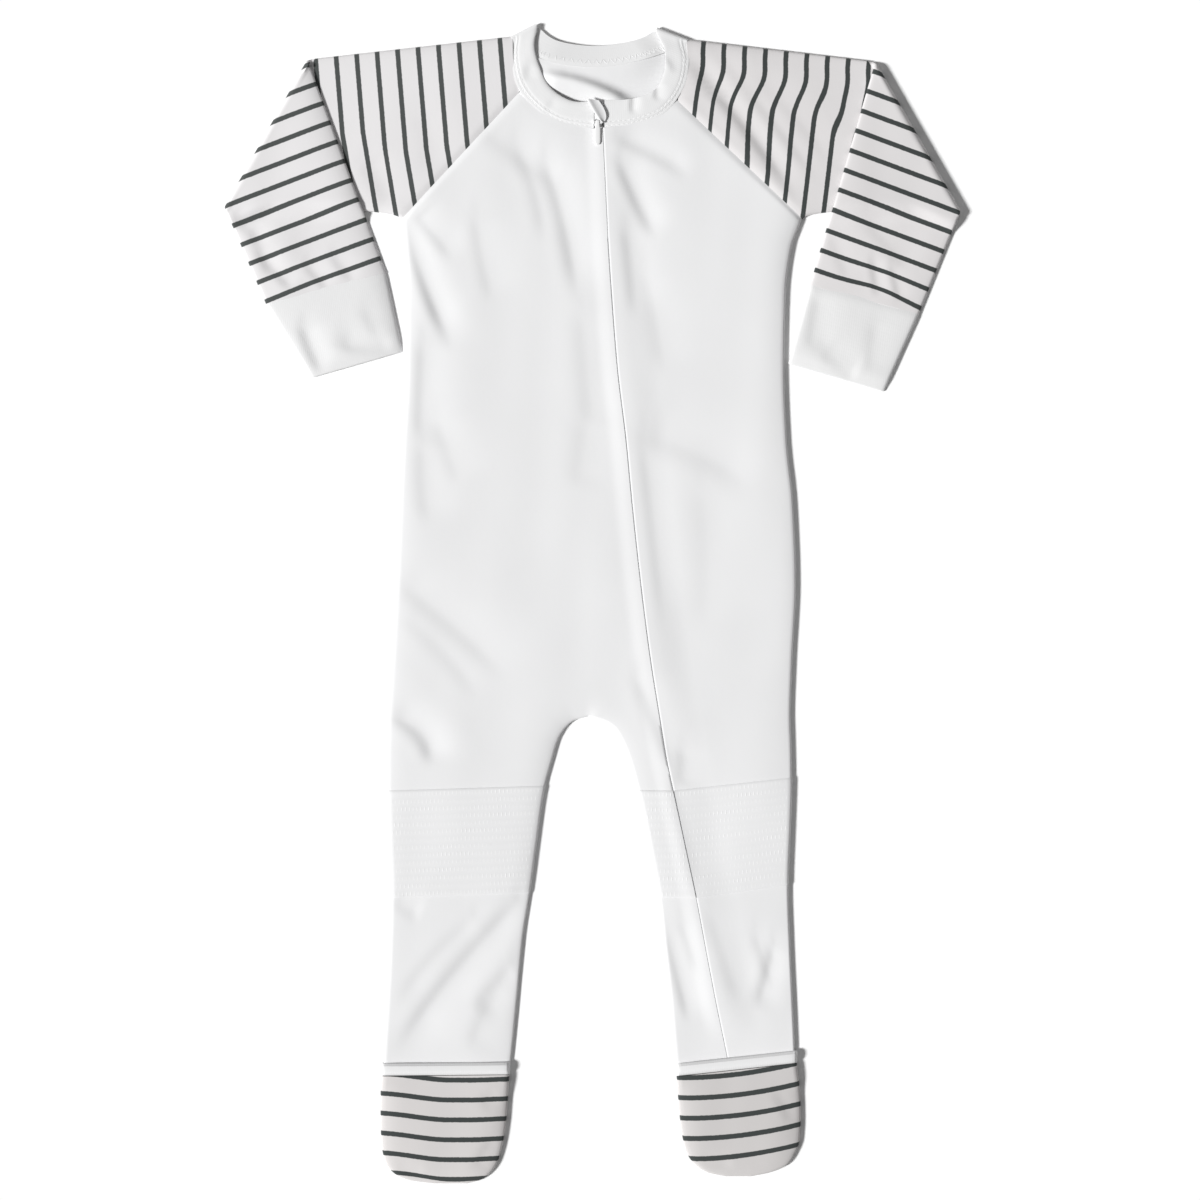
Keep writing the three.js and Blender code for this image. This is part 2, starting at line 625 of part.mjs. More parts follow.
/** Back of the body and legs, flat on the surface, with the armholes and the neck cut out. */
function backGeometry() {
  const shares = backShares;
  const splitColumn = shares.indexOf(BACK_SPLIT);
  const yokeSteps = 5;
  const heights = [YOKE_Y, ...backRows.torso, CROTCH_Y, ...archRows, ...backRows.legs, BACK_END];
  const split = yokeSteps + heights.indexOf(CROTCH_Y);
  const corner = (section, sign) => {
    const away = new THREE.Vector2(sign, -1).multiplyScalar(3 * SEAM_GAP);
    return section.seam.clone().add(away);
  };
  const neckLeft = corner(bandBack[0], -1);
  const neckRight = corner(bandBack[bandBack.length - 1], 1);
  const topEdge = (x) => {
    const [low, high] = [sleeves[0].underarm, sleeves[1].underarm];
    if (x < neckLeft.x) return mix(low[1], neckLeft.y, (x - low[0]) / (neckLeft.x - low[0]));
    if (x > neckRight.x) return mix(high[1], neckRight.y, (x - high[0]) / (neckRight.x - high[0]));
    return Math.min(neckSeam.backByX(x), neckLeft.y);
  };
  const pointAt = (row, column, side) => {
    const share = shares[column];
    if (row <= yokeSteps) {
      const low = new THREE.Vector2(mix(leftEdge(YOKE_Y), rightEdge(YOKE_Y), share), YOKE_Y);
      const highX = mix(sleeves[0].underarm[0], sleeves[1].underarm[0], share);
      return new THREE.Vector2(highX, topEdge(highX)).lerp(low, row / yokeSteps);
    }
    const y = heights[row - yokeSteps];
    if (row <= split) return new THREE.Vector2(mix(leftEdge(y), rightEdge(y), share), y);
    const parting = shares[splitColumn];
    const x = side === "left" ? mix(leftEdge(y), leftInseam(y), share / parting)
      : mix(rightInseam(y), rightEdge(y), (share - parting) / (1 - parting));
    return new THREE.Vector2(x, y);
  };
  const outer = [];
  const ids = new Map();
  const vertexAt = (row, column, side) => {
    const parted = row > split && column === splitColumn;
    const key = `${row} ${column}${parted ? side : ""}`;
    if (!ids.has(key)) {
      const point = pointAt(row, column, side);
      ids.set(key, outer.push(new THREE.Vector3(point.x, point.y, WALL)) - 1);
    }
    return ids.get(key);
  };
  const rowCount = yokeSteps + heights.length - 1;
  const faces = [
    ...gridFaces(rowCount, splitColumn, (i, j) => vertexAt(i, j, "left")),
    ...gridFaces(rowCount, shares.length - 1 - splitColumn, (i, j) => vertexAt(i, splitColumn + j, "right")),
  ];
  const inner = outer.map((point) => point.clone().setZ(0));
  return wallGeometry(outer, inner, faces);
}

// Sleeves and cuffs
const armShares = [0, 0.12, 0.28, 0.44, 0.58, RAGLAN_SHARE, 0.78, 0.85, 0.93, 1];
const cuffShares = [0, 0.12, 0.3, 0.5, 0.7, 0.88, 1];
const EDGE_ROUND = 0.9;

/** Point on the seam of a sleeve's front: up the raglan, then along the neckband. */
function frontSeamPoint(sleeve, share) {
  const top = raglanTop(sleeve);
  if (share <= RAGLAN_SHARE) return plan(sleeve.underarm).lerp(top, share / RAGLAN_SHARE);
  const y = mix(top.y, sleeve.neck[1], (share - RAGLAN_SHARE) / (1 - RAGLAN_SHARE));
  return new THREE.Vector2(sleeve.side === "left" ? neckSeam.leftByY(y) : neckSeam.rightByY(y), y);
}

/** Where an edge that leaves a crease corner in a direction is as deep inward as the crease's axis. */
function axisCorner(corner, towards, inward) {
  const direction = towards.clone().sub(corner).normalize();
  return corner.clone().addScaledVector(direction, CREASE_AXIS / direction.dot(inward));
}

/** Ends of a crease's axis, on the upper arm's edges and on the forearm's edges. */
function creaseAxis(sleeve) {
  const { inward } = creaseFrame(sleeve);
  const [top, end] = [plan(sleeve.creaseTop), plan(sleeve.creaseEnd)];
  return {
    upper: [axisCorner(end, undersideAt(sleeve, 0.8), inward), axisCorner(top, plan(sleeve.neck), inward)],
    fore: [axisCorner(end, plan(sleeve.wristOut), inward), axisCorner(top, plan(sleeve.wristIn), inward)],
  };
}

/** Section of an upper arm at a share of the way from its seams to the crease's axis. */
function upperSection(sleeve, share) {
  const axis = creaseAxis(sleeve).upper;
  const between = (seam, across) => {
    const end = axis[0].clone().lerp(axis[1], across);
    const start = seam.clone().addScaledVector(end.clone().sub(seam).normalize(), 1.6 * SEAM_GAP);
    const point = start.lerp(end, share);
    point.y += UNDERARM_RISE * Math.sin(Math.PI * Math.sqrt(share)) * (1 - across) ** 2;
    return point;
  };
  const front = (across) => between(frontSeamPoint(sleeve, across), across);
  const back = (across) => between(plan(sleeve.underarm).lerp(plan(sleeve.neck), across), across);
  const height = (across) => clothTop(front(across));
  const width = back(0).distanceTo(back(1));
  const place = (across, depth) => {
    const room = SLEEVE_WALL + 0.1;
    const share = clamp((depth - room) / (height(across) - 2 * room));
    const point = back(across).lerp(front(across), share);
    return new THREE.Vector3(point.x, point.y, depth);
  };
  return { place, height, width };
}

/** Section in the roll of the crease, turned by an angle about its axis. */
function rollSection(sleeve, angle) {
  const { upper, fore } = creaseAxis(sleeve);
  const { inward } = creaseFrame(sleeve);
  const turned = angle / Math.PI;
  const ends = [0, 1].map((k) => upper[k].clone().lerp(fore[k], turned));
  const axisAt = (across) => ends[0].clone().lerp(ends[1], across);
  const height = (across) => {
    const first = clothTop(upper[0].clone().lerp(upper[1], across));
    return mix(first, foreHeight(sleeve, axisAt(across)), turned);
  };
  const place = (across, depth) => {
    const radius = CREASE_AXIS - depth;
    const point = axisAt(across).addScaledVector(inward, -radius * Math.sin(angle));
    return new THREE.Vector3(point.x, point.y, CREASE_AXIS - radius * Math.cos(angle));
  };
  return { place, height, width: ends[0].distanceTo(ends[1]) };
}

/** Thickness of the flattened forearm at a place: full along its middle, thin at its two edges. */
function foreHeight(sleeve, point) {
  const { fore } = creaseAxis(sleeve);
  const inner = [fore[1], plan(sleeve.wristIn)];
  const outer = [fore[0], plan(sleeve.wristOut)];
  const distance = Math.min(nearest(point, inner).distance, nearest(point, outer).distance);
  const depth = point.clone().sub(plan(sleeve.creaseTop)).dot(creaseFrame(sleeve).inward);
  const crown = mix(CREASE_CROWN, FOREARM_CROWN, ease(5, 40, depth));
  return FOREARM_RIM + (crown - FOREARM_RIM) * (1 - Math.exp(-distance / RIM_REACH));
}

/** Height that the forearm lies at: on the upper arm, then down to the surface below its edge. */
function foreBase(sleeve, point) {
  const underside = lineReader(undersideLine(sleeve, 12), "x", "y");
  const depth = Math.max(0, point.clone().sub(plan(sleeve.creaseTop)).dot(creaseFrame(sleeve).inward));
  const onArm = mix(CREASE_CROWN, CROWN_TOP, ease(0, CREASE_SETTLE, depth)) + FOREARM_GAP;
  return onArm * (1 - ease(DROP_START, DROP_END, underside(point.x) - point.y));
}

/** Section of a forearm at a share of the way from the crease's axis to the wrist seam. */
function foreSection(sleeve, share) {
  const { fore } = creaseAxis(sleeve);
  const outEdge = fore[0].clone().lerp(plan(sleeve.wristOut), share);
  const inEdge = fore[1].clone().lerp(plan(sleeve.wristIn), share);
  const at = (across) => outEdge.clone().lerp(inEdge, across);
  const height = (across) => foreHeight(sleeve, at(across));
  const place = (across, depth) => {
    const point = at(across);
    return new THREE.Vector3(point.x, point.y, foreBase(sleeve, point) + height(across) - depth);
  };
  return { place, height, width: outEdge.distanceTo(inEdge) };
}

/** Section of a cuff from just past the wrist seam to its hem. */
function cuffSection(sleeve, share) {
  const start = (SEAM_GAP * 1.5) / plan(sleeve.wristIn).distanceTo(plan(sleeve.hemIn));
  const along = mix(start, 1, share);
  const outEdge = plan(sleeve.wristOut).lerp(plan(sleeve.hemOut), along);
  const inEdge = plan(sleeve.wristIn).lerp(plan(sleeve.hemIn), along);
  const width = outEdge.distanceTo(inEdge);
  const height = (across) => {
    const distance = Math.min(across, 1 - across) * width;
    return CUFF_RIM + (CUFF_CROWN - CUFF_RIM) * (1 - Math.exp(-distance / RIM_REACH));
  };
  const place = (across, depth) => {
    const point = outEdge.clone().lerp(inEdge, across);
    return new THREE.Vector3(point.x, point.y, height(across) - depth);
  };
  return { place, height, width };
}

/** Ring of points round a flattened section: along one side, round an edge and back. */
function sectionRing(section, shares, inset, wall) {
  const round = (inset + EDGE_ROUND) / section.width;
  const across = (share) => Math.min(1 - round, Math.max(round, share));
  const edge = (share) => {
    const end = share < 0.5 ? inset / section.width : 1 - inset / section.width;
    return section.place(end, section.height(across(share)) / 2);
  };
  const low = shares.map((share) => section.place(across(share), wall));
  const high = shares.map((share) => section.place(across(share), section.height(across(share)) - wall));
  return [...low, edge(1), ...high.reverse(), edge(0)];
}

/** Flattened tube of cloth through sections, open at both ends. */
function tubeGeometry(sections, shares, wall) {
  const outer = sections.flatMap((section) => sectionRing(section, shares, 0, 0));
  const inner = sections.flatMap((section) => sectionRing(section, shares, wall, wall));
  const count = outer.length / sections.length;
  const faces = gridFaces(sections.length - 1, count, (i, j) => i * count + (j % count));
  return wallGeometry(outer, inner, faces);
}

/** Turns the faces of a closed geometry outward where its sections run the other way round. */
function outward(geometry) {
  const position = geometry.getAttribute("position");
  const index = geometry.getIndex();
  const [a, b, c] = [new THREE.Vector3(), new THREE.Vector3(), new THREE.Vector3()];
  let volume = 0;
  for (let i = 0; i < index.count; i += 3) {
    a.fromBufferAttribute(position, index.getX(i));
    b.fromBufferAttribute(position, index.getX(i + 1));
    c.fromBufferAttribute(position, index.getX(i + 2));
    volume += a.dot(b.cross(c));
  }
  if (volume > 0) return geometry;
  const flipped = [];
  for (let i = 0; i < index.count; i += 3) flipped.push(index.getX(i), index.getX(i + 2), index.getX(i + 1));
  geometry.setIndex(flipped);
  geometry.computeVertexNormals();
  return geometry;
}

/** One sleeve: upper arm, the roll of its crease and the forearm folded back over it. */
function sleeveGeometry(sleeve) {
  const upper = [0, 0.14, 0.32, 0.54, 0.77, 1];
  const turns = [0.25, 0.5, 0.75];
  const fore = [0, 0.14, 0.28, 0.42, 0.54, 0.65, 0.76, 0.88, 1];
  const sections = [
    ...upper.map((share) => upperSection(sleeve, share)),
    ...turns.map((turn) => rollSection(sleeve, turn * Math.PI)),
    ...fore.map((share) => foreSection(sleeve, share)),
  ];
  return outward(tubeGeometry(sections, armShares, SLEEVE_WALL));
}

/** One cuff, a doubled tube from the wrist seam to its hem. */
function cuffGeometry(sleeve) {
  const sections = [0, 0.2, 0.5, 0.8, 1].map((share) => cuffSection(sleeve, share));
  return outward(tubeGeometry(sections, cuffShares, CUFF_WALL));
}

// Neckband
/** Bottom of the band's front part: from the fold up to the level of the fronts. */
function bandBase(section, across, travelled) {
  const point = section.seam.clone().lerp(section.edge, across);
  const settled = ease(0, BAND_SETTLE, travelled);
  const folded = 2 * BAND_AXIS - BAND_WALL;
  const level = CROWN_TOP + BAND_PROUD - BAND_WALL + BAND_LIFT * across - 0.3 * foldDepth(point);
  return mix(folded, level, settled);
}

const bandShares = [0, 0.5, 1];

/** Sections of one front run of the band, each a list of points at the two faces. */
function bandFrontSections(run, foldFirst) {
  const foldEnd = foldFirst ? run[0] : run[run.length - 1];
  const inset = foldNormal(foldEnd).multiplyScalar(-BAND_AXIS);
  const ordered = foldFirst ? run : [...run].reverse();
  let travelled = 0;
  const sections = ordered.map((section, i) => {
    if (i > 0) travelled += section.seam.distanceTo(ordered[i - 1].seam);
    const near = 1 - ease(0, 12, travelled);
    const distance = travelled;
    return (across, depth) => {
      const point = section.seam.clone().lerp(section.edge, across).addScaledVector(inset, near);
      return new THREE.Vector3(point.x, point.y, bandBase(section, across, distance) + BAND_WALL - depth);
    };
  });
  return foldFirst ? sections : sections.reverse();
}

/** Sections of the roll where the band turns from its front part to its back part. */
function bandRollSections(fold, fromFront) {
  const normal = foldNormal(fold);
  const turns = [0.25, 0.5, 0.75];
  const sections = turns.map((turn) => (across, depth) => {
    const radius = BAND_AXIS - depth;
    const centre = fold.seam.clone().lerp(fold.edge, across).addScaledVector(normal, -BAND_AXIS);
    const point = centre.addScaledVector(normal, radius * Math.sin(turn * Math.PI));
    return new THREE.Vector3(point.x, point.y, BAND_AXIS - radius * Math.cos(turn * Math.PI));
  });
  return fromFront ? sections.reverse() : sections;
}

/** The neckband: one strip from the zip, over both shoulder folds and back to the zip. */
function neckbandGeometry() {
  const [leftFold, rightFold] = [bandBackFlat[0], bandBackFlat[bandBackFlat.length - 1]];
  const back = bandBack.map((section) => (across, depth) => {
    const point = section.seam.clone().lerp(section.edge, across);
    return new THREE.Vector3(point.x, point.y, depth);
  });
  const sections = [
    ...bandFrontSections(bandFrontLeft, false),
    ...bandRollSections(leftFold, true),
    ...back,
    ...bandRollSections(rightFold, false),
    ...bandFrontSections(bandFrontRight, true),
  ];
  const outer = sections.flatMap((place) => bandShares.map((share) => place(share, 0)));
  const inner = sections.flatMap((place) => bandShares.map((share) => place(share, BAND_WALL)));
  const columns = bandShares.length;
  const faces = gridFaces(sections.length - 1, columns - 1, (i, j) => i * columns + j);
  return outward(wallGeometry(outer, inner, faces));
}

// Feet
const footShares = [0, 0.05, 0.16, 0.34, 0.5, 0.66, 0.84, 0.95, 1];

/** Plan point on a foot cover; the tilt of its bound edge dies out towards the toe. */
function footPoint(side, y, share) {
  const rows = footRows[side];
  const left = sectionReader(rows, "left")(y);
  const right = sectionReader(rows, "right")(y);
  const fade = clamp((y - rows[rows.length - 1].y) / (rows[0].y - rows[rows.length - 1].y));
  return new THREE.Vector2(mix(left, right, share), y + footTilt[side] * (share - 0.5) * fade);
}

const footEdges = Object.fromEntries(Object.keys(footRows).map((side) => {
  const rows = footRows[side];
  const leftLine = rows.map((row) => footPoint(side, row.y, 0));
  const rightLine = rows.map((row) => footPoint(side, row.y, 1));
  return [side, [...leftLine, ...rightLine.reverse()]];
}));

/** Top of a foot cover: held up by the leg end at its mouth, rolled down to the seam round the toe. */
function footTop(side, point) {
  const mouth = footRows[side][0].y;
  const { distance } = nearest(point, footEdges[side]);
  const rim = mix(RIM_TOP, FOOT_MOUTH_TOP - 0.4, 1 - ease(2, 14, mouth - point.y));
  return rim + (FOOT_MOUTH_TOP - rim) * (1 - Math.exp(-distance / RIM_REACH));
}

/** Front of a foot cover, from under its binding to the toe. */
function footFrontGeometry(side) {
  const rows = footRows[side];
  const heights = rows.flatMap((row, i) => (i === 0 ? [row.y] : [(row.y + rows[i - 1].y) / 2, row.y]));
  const grid = heights.map((y) => footShares.map((share) => footPoint(side, y, share)));
  return panelGeometry(grid, (point) => footTop(side, point), WALL);
}

/** Sole side of a foot cover, flat on the surface, sewn to the end of the leg's back. */
function footBackGeometry(side) {
  const rows = footRows[side];
  const shares = [0, 0.25, 0.5, 0.75, 1];
  const straightTop = shares.map((share) => {
    const ends = side === "left" ? [leftEdge(FOOT_BACK_TOP), leftInseam(FOOT_BACK_TOP)]
      : [rightInseam(FOOT_BACK_TOP), rightEdge(FOOT_BACK_TOP)];
    return new THREE.Vector2(mix(ends[0], ends[1], share), FOOT_BACK_TOP);
  });
  const below = rows.slice(1).map((row) => shares.map((share) => footPoint(side, row.y, share)));
  return panelGeometry([straightTop, ...below], () => WALL, WALL);
}

/** Binding along the mouth of a foot cover, doubled over its cut edge. */
function bindingGeometry(side) {
  const mouth = footRows[side][0].y;
  const profile = [
    { name: "upper edge", up: BINDING_WIDTH, lower: 0.35 },
    { name: "upper round", up: BINDING_WIDTH - 1, lower: 0 },
    { name: "lower round", up: SEAM_GAP + 1, lower: 0 },
    { name: "lower edge", up: SEAM_GAP, lower: 0.35 },
  ];
  const pointAt = (row, share) => {
    const point = footPoint(side, mouth, share);
    return new THREE.Vector2(point.x, point.y + row.up);
  };
  const grid = profile.map((row) => footShares.map((share) => pointAt(row, share)));
  const edges = [footPoint(side, mouth, 0).x, footPoint(side, mouth, 1).x];
  const topAt = (point) => {
    const distance = Math.min(point.x - edges[0], edges[1] - point.x);
    return FOOT_MOUTH_TOP + 0.25 - 0.4 * Math.exp(-distance / RIM_REACH);
  };
  const outer = grid.flatMap((points, i) => points.map((point) =>
    new THREE.Vector3(point.x, point.y, topAt(point) - profile[i].lower)));
  const inner = grid.flatMap((points) => points.map((point) =>
    new THREE.Vector3(point.x, point.y, topAt(point) - BINDING_WALL)));
  const columns = footShares.length;
  return wallGeometry(outer, inner, gridFaces(profile.length - 1, columns - 1, (i, j) => i * columns + j));
}

// Zip
/** Zip tape with its closed coil, under both fronts, made from their points moved inward. */
function tapeGeometry() {
  const shares = [0, 0.3, 0.45, 0.7, 1];
  const lineAt = (y) => {
    if (y > zipTop.y) return zipTop.x;
    if (y > YOKE_Y) return mix(zipLine(YOKE_Y), zipTop.x, (y - YOKE_Y) / (zipTop.y - YOKE_Y));
    return zipLine(y);
  };
  const grid = Array.from({ length: TAPE.steps + 1 }, (_, i) => {
    const y = mix(TAPE.top, TAPE.bottom, i / TAPE.steps);
    const line = lineAt(y);
    return shares.map((share) => new THREE.Vector2(mix(line - TAPE.left, line + TAPE.right, share), y));
  });
  const topAt = (point) => Math.min(clothTop(point), CROWN_TOP) - WALL - 2 * SEAM_GAP;
  return panelGeometry(grid, topAt, TAPE.wall);
}

const wasm = await Module();
wasm.setup();

/** Solid for joining and cutting, from a closed geometry with its corners shared. */
function solidOf(geometry) {
  const corners = new Map();
  const vertices = [];
  const source = geometry.getAttribute("position");
  const order = geometry.getIndex() ? [...geometry.getIndex().array] : [...Array(source.count).keys()];
  const triangles = order.map((id) => {
    const point = new THREE.Vector3().fromBufferAttribute(source, id);
    const key = point.toArray().map((value) => value.toFixed(5)).join(" ");
    if (!corners.has(key)) {
      corners.set(key, vertices.length / 3);
      vertices.push(...point.toArray());
    }
    return corners.get(key);
  });
  const mesh = new wasm.Mesh({
    numProp: 3,
    vertProperties: new Float32Array(vertices),
    triVerts: new Uint32Array(triangles),
  });
  return new wasm.Manifold(mesh);
}

/** Geometry of a joined or cut solid. */
function geometryOf(solid) {
  const mesh = solid.getMesh();
  const geometry = new THREE.BufferGeometry();
  geometry.setAttribute("position", new THREE.BufferAttribute(new Float32Array(mesh.vertProperties), 3));
  geometry.setIndex([...mesh.triVerts]);
  geometry.computeVertexNormals();
  return geometry;
}

/** Plate cut to a plan outline, from one height up. */
function plateGeometry(points, bottom, thickness) {
  const geometry = new THREE.ExtrudeGeometry(new THREE.Shape(points), { depth: thickness, bevelEnabled: false });
  return geometry.translate(0, 0, bottom);
}

/** Slider: a tapered body over the coil with two lugs that hold the pull tab. */
function sliderGeometry() {
  const half = SLIDER.width / 2;
  const body = [
    new THREE.Vector2(SLIDER.x - 0.6 * half, SLIDER.low),
    new THREE.Vector2(SLIDER.x + 0.6 * half, SLIDER.low),
    new THREE.Vector2(SLIDER.x + half, SLIDER.high - 2),
    new THREE.Vector2(SLIDER.x + 0.7 * half, SLIDER.high),
    new THREE.Vector2(SLIDER.x - 0.7 * half, SLIDER.high),
    new THREE.Vector2(SLIDER.x - half, SLIDER.high - 2),
  ];
  let solid = solidOf(plateGeometry(body, SLIDER.bottom, SLIDER.top - SLIDER.bottom));
  for (const side of [-1, 1]) {
    const centre = PULL.x + side * (PULL.eyeWidth / 2 + SEAM_GAP + LUG.thick / 2);
    const lug = new THREE.BoxGeometry(LUG.thick, LUG.high - LUG.low, LUG.top - SLIDER.top + 0.5);
    lug.translate(centre, (LUG.high + LUG.low) / 2, (LUG.top + SLIDER.top - 0.5) / 2);
    solid = solid.add(solidOf(lug));
  }
  return geometryOf(solid);
}

/** Pull tab: a round eye across the lugs, a neck, and a blade with a round end. */
function pullGeometry() {
  const [half, neck] = [PULL.width / 2, PULL.eyeWidth / 2];
  const end = PULL.y - PULL.length + half;
  const blade = new THREE.Shape();
  blade.moveTo(PULL.x - neck, PULL.y);
  blade.lineTo(PULL.x - neck, PULL.y - 2.4);
  blade.lineTo(PULL.x - half, PULL.y - 3.6);
  blade.lineTo(PULL.x - half, end);
  blade.absarc(PULL.x, end, half, Math.PI, 2 * Math.PI, false);
  blade.lineTo(PULL.x + half, PULL.y - 3.6);
  blade.lineTo(PULL.x + neck, PULL.y - 2.4);
  blade.lineTo(PULL.x + neck, PULL.y);
  const plate = new THREE.ExtrudeGeometry(blade, { depth: PULL.thick, bevelEnabled: false, curveSegments: 8 });
  plate.translate(0, 0, PULL.z - PULL.thick / 2);
  const eye = new THREE.CylinderGeometry(PULL.eyeRadius, PULL.eyeRadius, PULL.eyeWidth, 12);
  eye.rotateZ(Math.PI / 2);
  eye.translate(PULL.x, PULL.y, PULL.z);
  return geometryOf(solidOf(plate).add(solidOf(eye)));
}

/** Guard of folded cloth over the top of the zip. */
function guardGeometry() {
  const points = guardOutline.map((corner) => plan(corner.at)).reverse();
  return plateGeometry(points, GUARD.bottom, GUARD.wall);
}

/** One named piece with its own material. */
function piece(name, geometry, look) {
  const mesh = new THREE.Mesh(geometry, new THREE.MeshStandardMaterial(look));
  mesh.name = name;
  return mesh;
}

const leftSkin = leftFrontSkin();
const rightGrid = rightFrontGrid();
const leftInner = leftSkin.outer.map((point) => point.clone().setZ(point.z - WALL));
const kneeRows = Array.from({ length: KNEE_STEPS + 1 }, (_, i) => kneeRow + i);
const leftKneeColumns = Array.from({ length: SPLIT_COLUMN + 1 }, (_, j) => j);
const innerKneeColumns = Array.from({ length: leftShares.length - SPLIT_COLUMN }, (_, j) => SPLIT_COLUMN + j);
const leftKnee = kneeRows.map((i) => leftKneeColumns.map((j) => leftSkin.outer[leftSkin.vertexAt(i, j, "left")]));
const innerKnee = kneeRows.map((i) => innerKneeColumns.map((j) => leftSkin.outer[leftSkin.vertexAt(i, j, "right")]));
const outerKnee = kneeRows.map((i) => rightGrid[i].map((point) =>
  new THREE.Vector3(point.x, point.y, rightFrontTopAt(point))));

const sleepsuit = new THREE.Group();
sleepsuit.add(piece("back", backGeometry(), WHITE_KNIT));
sleepsuit.add(piece("front_left", wallGeometry(leftSkin.outer, leftInner, leftSkin.faces), WHITE_KNIT));
sleepsuit.add(piece("front_right", panelGeometry(rightGrid, rightFrontTopAt, WALL), WHITE_KNIT));
sleepsuit.add(piece("knee_left", patchGeometry(leftKnee), WHITE_KNIT));
sleepsuit.add(piece("knee_right_inner", patchGeometry(innerKnee), WHITE_KNIT));
sleepsuit.add(piece("knee_right_outer", patchGeometry(outerKnee), WHITE_KNIT));
for (const sleeve of sleeves) {
  sleepsuit.add(piece(`sleeve_${sleeve.side}`, sleeveGeometry(sleeve), STRIPED_KNIT));
  sleepsuit.add(piece(`cuff_${sleeve.side}`, cuffGeometry(sleeve), WHITE_RIB));
}
sleepsuit.add(piece("neckband", neckbandGeometry(), WHITE_RIB));
for (const side of Object.keys(footRows)) {
  sleepsuit.add(piece(`foot_front_${side}`, footFrontGeometry(side), FOOT_KNIT));
  sleepsuit.add(piece(`foot_back_${side}`, footBackGeometry(side), FOOT_KNIT));
  sleepsuit.add(piece(`foot_binding_${side}`, bindingGeometry(side), WHITE_RIB));
}
sleepsuit.add(piece("zip_tape", tapeGeometry(), ZIP_TAPE));
sleepsuit.add(piece("zip_guard", guardGeometry(), WHITE_KNIT));
sleepsuit.add(piece("zip_slider", sliderGeometry(), ENAMEL));
sleepsuit.add(piece("zip_pull", pullGeometry(), ENAMEL));

export default sleepsuit;
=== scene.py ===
"""Looks of a footed baby sleepsuit laid flat on its back, both forearms folded over the front.

Sizes and places are millimetres in the frame's axes: +X towards the leg that the zip runs to,
+Y towards the neck, +Z up from the surface. Meshes are written in metres.
"""
from __future__ import annotations

import logging
import math
from dataclasses import dataclass
from enum import Enum
from typing import Callable, Sequence

import bpy
import numpy as np
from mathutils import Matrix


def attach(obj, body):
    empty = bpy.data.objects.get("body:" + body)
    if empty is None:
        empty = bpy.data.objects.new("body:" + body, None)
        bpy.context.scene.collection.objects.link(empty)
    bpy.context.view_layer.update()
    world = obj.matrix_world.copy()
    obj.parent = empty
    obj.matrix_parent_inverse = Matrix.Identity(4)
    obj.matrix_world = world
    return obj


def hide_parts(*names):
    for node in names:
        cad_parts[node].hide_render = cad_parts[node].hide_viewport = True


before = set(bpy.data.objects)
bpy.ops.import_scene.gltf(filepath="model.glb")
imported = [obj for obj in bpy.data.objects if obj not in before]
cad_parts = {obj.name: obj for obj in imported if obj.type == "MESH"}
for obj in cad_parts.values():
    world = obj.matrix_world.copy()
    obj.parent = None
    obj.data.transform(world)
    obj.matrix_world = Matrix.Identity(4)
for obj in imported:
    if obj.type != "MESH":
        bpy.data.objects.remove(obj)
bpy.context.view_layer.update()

LOG = logging.getLogger("sleepsuit")
MM = 0.001
GARMENT = "garment"

Pair = tuple[float, float]
Reader = Callable[[np.ndarray], np.ndarray]

# Cloth and how it rolls down at its edges
JERSEY = 1.0
RIM_TOP = 2.9
FULL_RIM = 3.0
LOW_RIM = 2.1
RIM_MIDDLE = 1.35
CROWN_TOP = 5.2
BODY_CROWN = 4.0
LEG_CROWN = 3.4
LEG_END_CROWN = 3.0
RIM_REACH = 5.0
RIM_ROLL = 1.1
SEAM_GAP = 0.3
HAIRLINE = -0.04
GRID = 2.2


def mix(a, b, share):
    """Value between a and b at a share of the way."""
    return a + (b - a) * share


def ease(low: float, high: float, value):
    """Smooth step from 0 at low to 1 at high."""
    share = np.clip((value - low) / (high - low), 0, 1)
    return share * share * (3 - 2 * share)


def unit(vector: np.ndarray) -> np.ndarray:
    """Vector, or each row of vectors, at length 1."""
    length = np.linalg.norm(vector, axis=-1, keepdims=True)
    return vector / np.where(length < 1e-12, 1, length)


def steps_for(length: float, pitch: float = GRID) -> int:
    """Number of steps of about a pitch along a length."""
    return max(1, math.ceil(abs(length) / pitch))


def nearest(points: np.ndarray, line: np.ndarray) -> tuple[np.ndarray, np.ndarray, np.ndarray]:
    """Finds how far plan points are from a line of points.

    Args:
        points: Plan points, one a row.
        line: Points of the line, one a row.

    Returns:
        The distance of each point, how far along the line its nearest place is, 0 to 1,
        and the plan vector from there to the point.
    """
    best = np.full(len(points), np.inf)
    share = np.zeros(len(points))
    away = np.zeros_like(points)
    for i in range(1, len(line)):
        step = line[i] - line[i - 1]
        along = np.clip(((points - line[i - 1]) @ step) / (step @ step), 0, 1)
        offset = points - line[i - 1] - along[:, None] * step
        distance = np.linalg.norm(offset, axis=1)
        closer = distance < best
        best[closer] = distance[closer]
        away[closer] = offset[closer]
        share[closer] = (i - 1 + along[closer]) / (len(line) - 1)
    return best, share, away


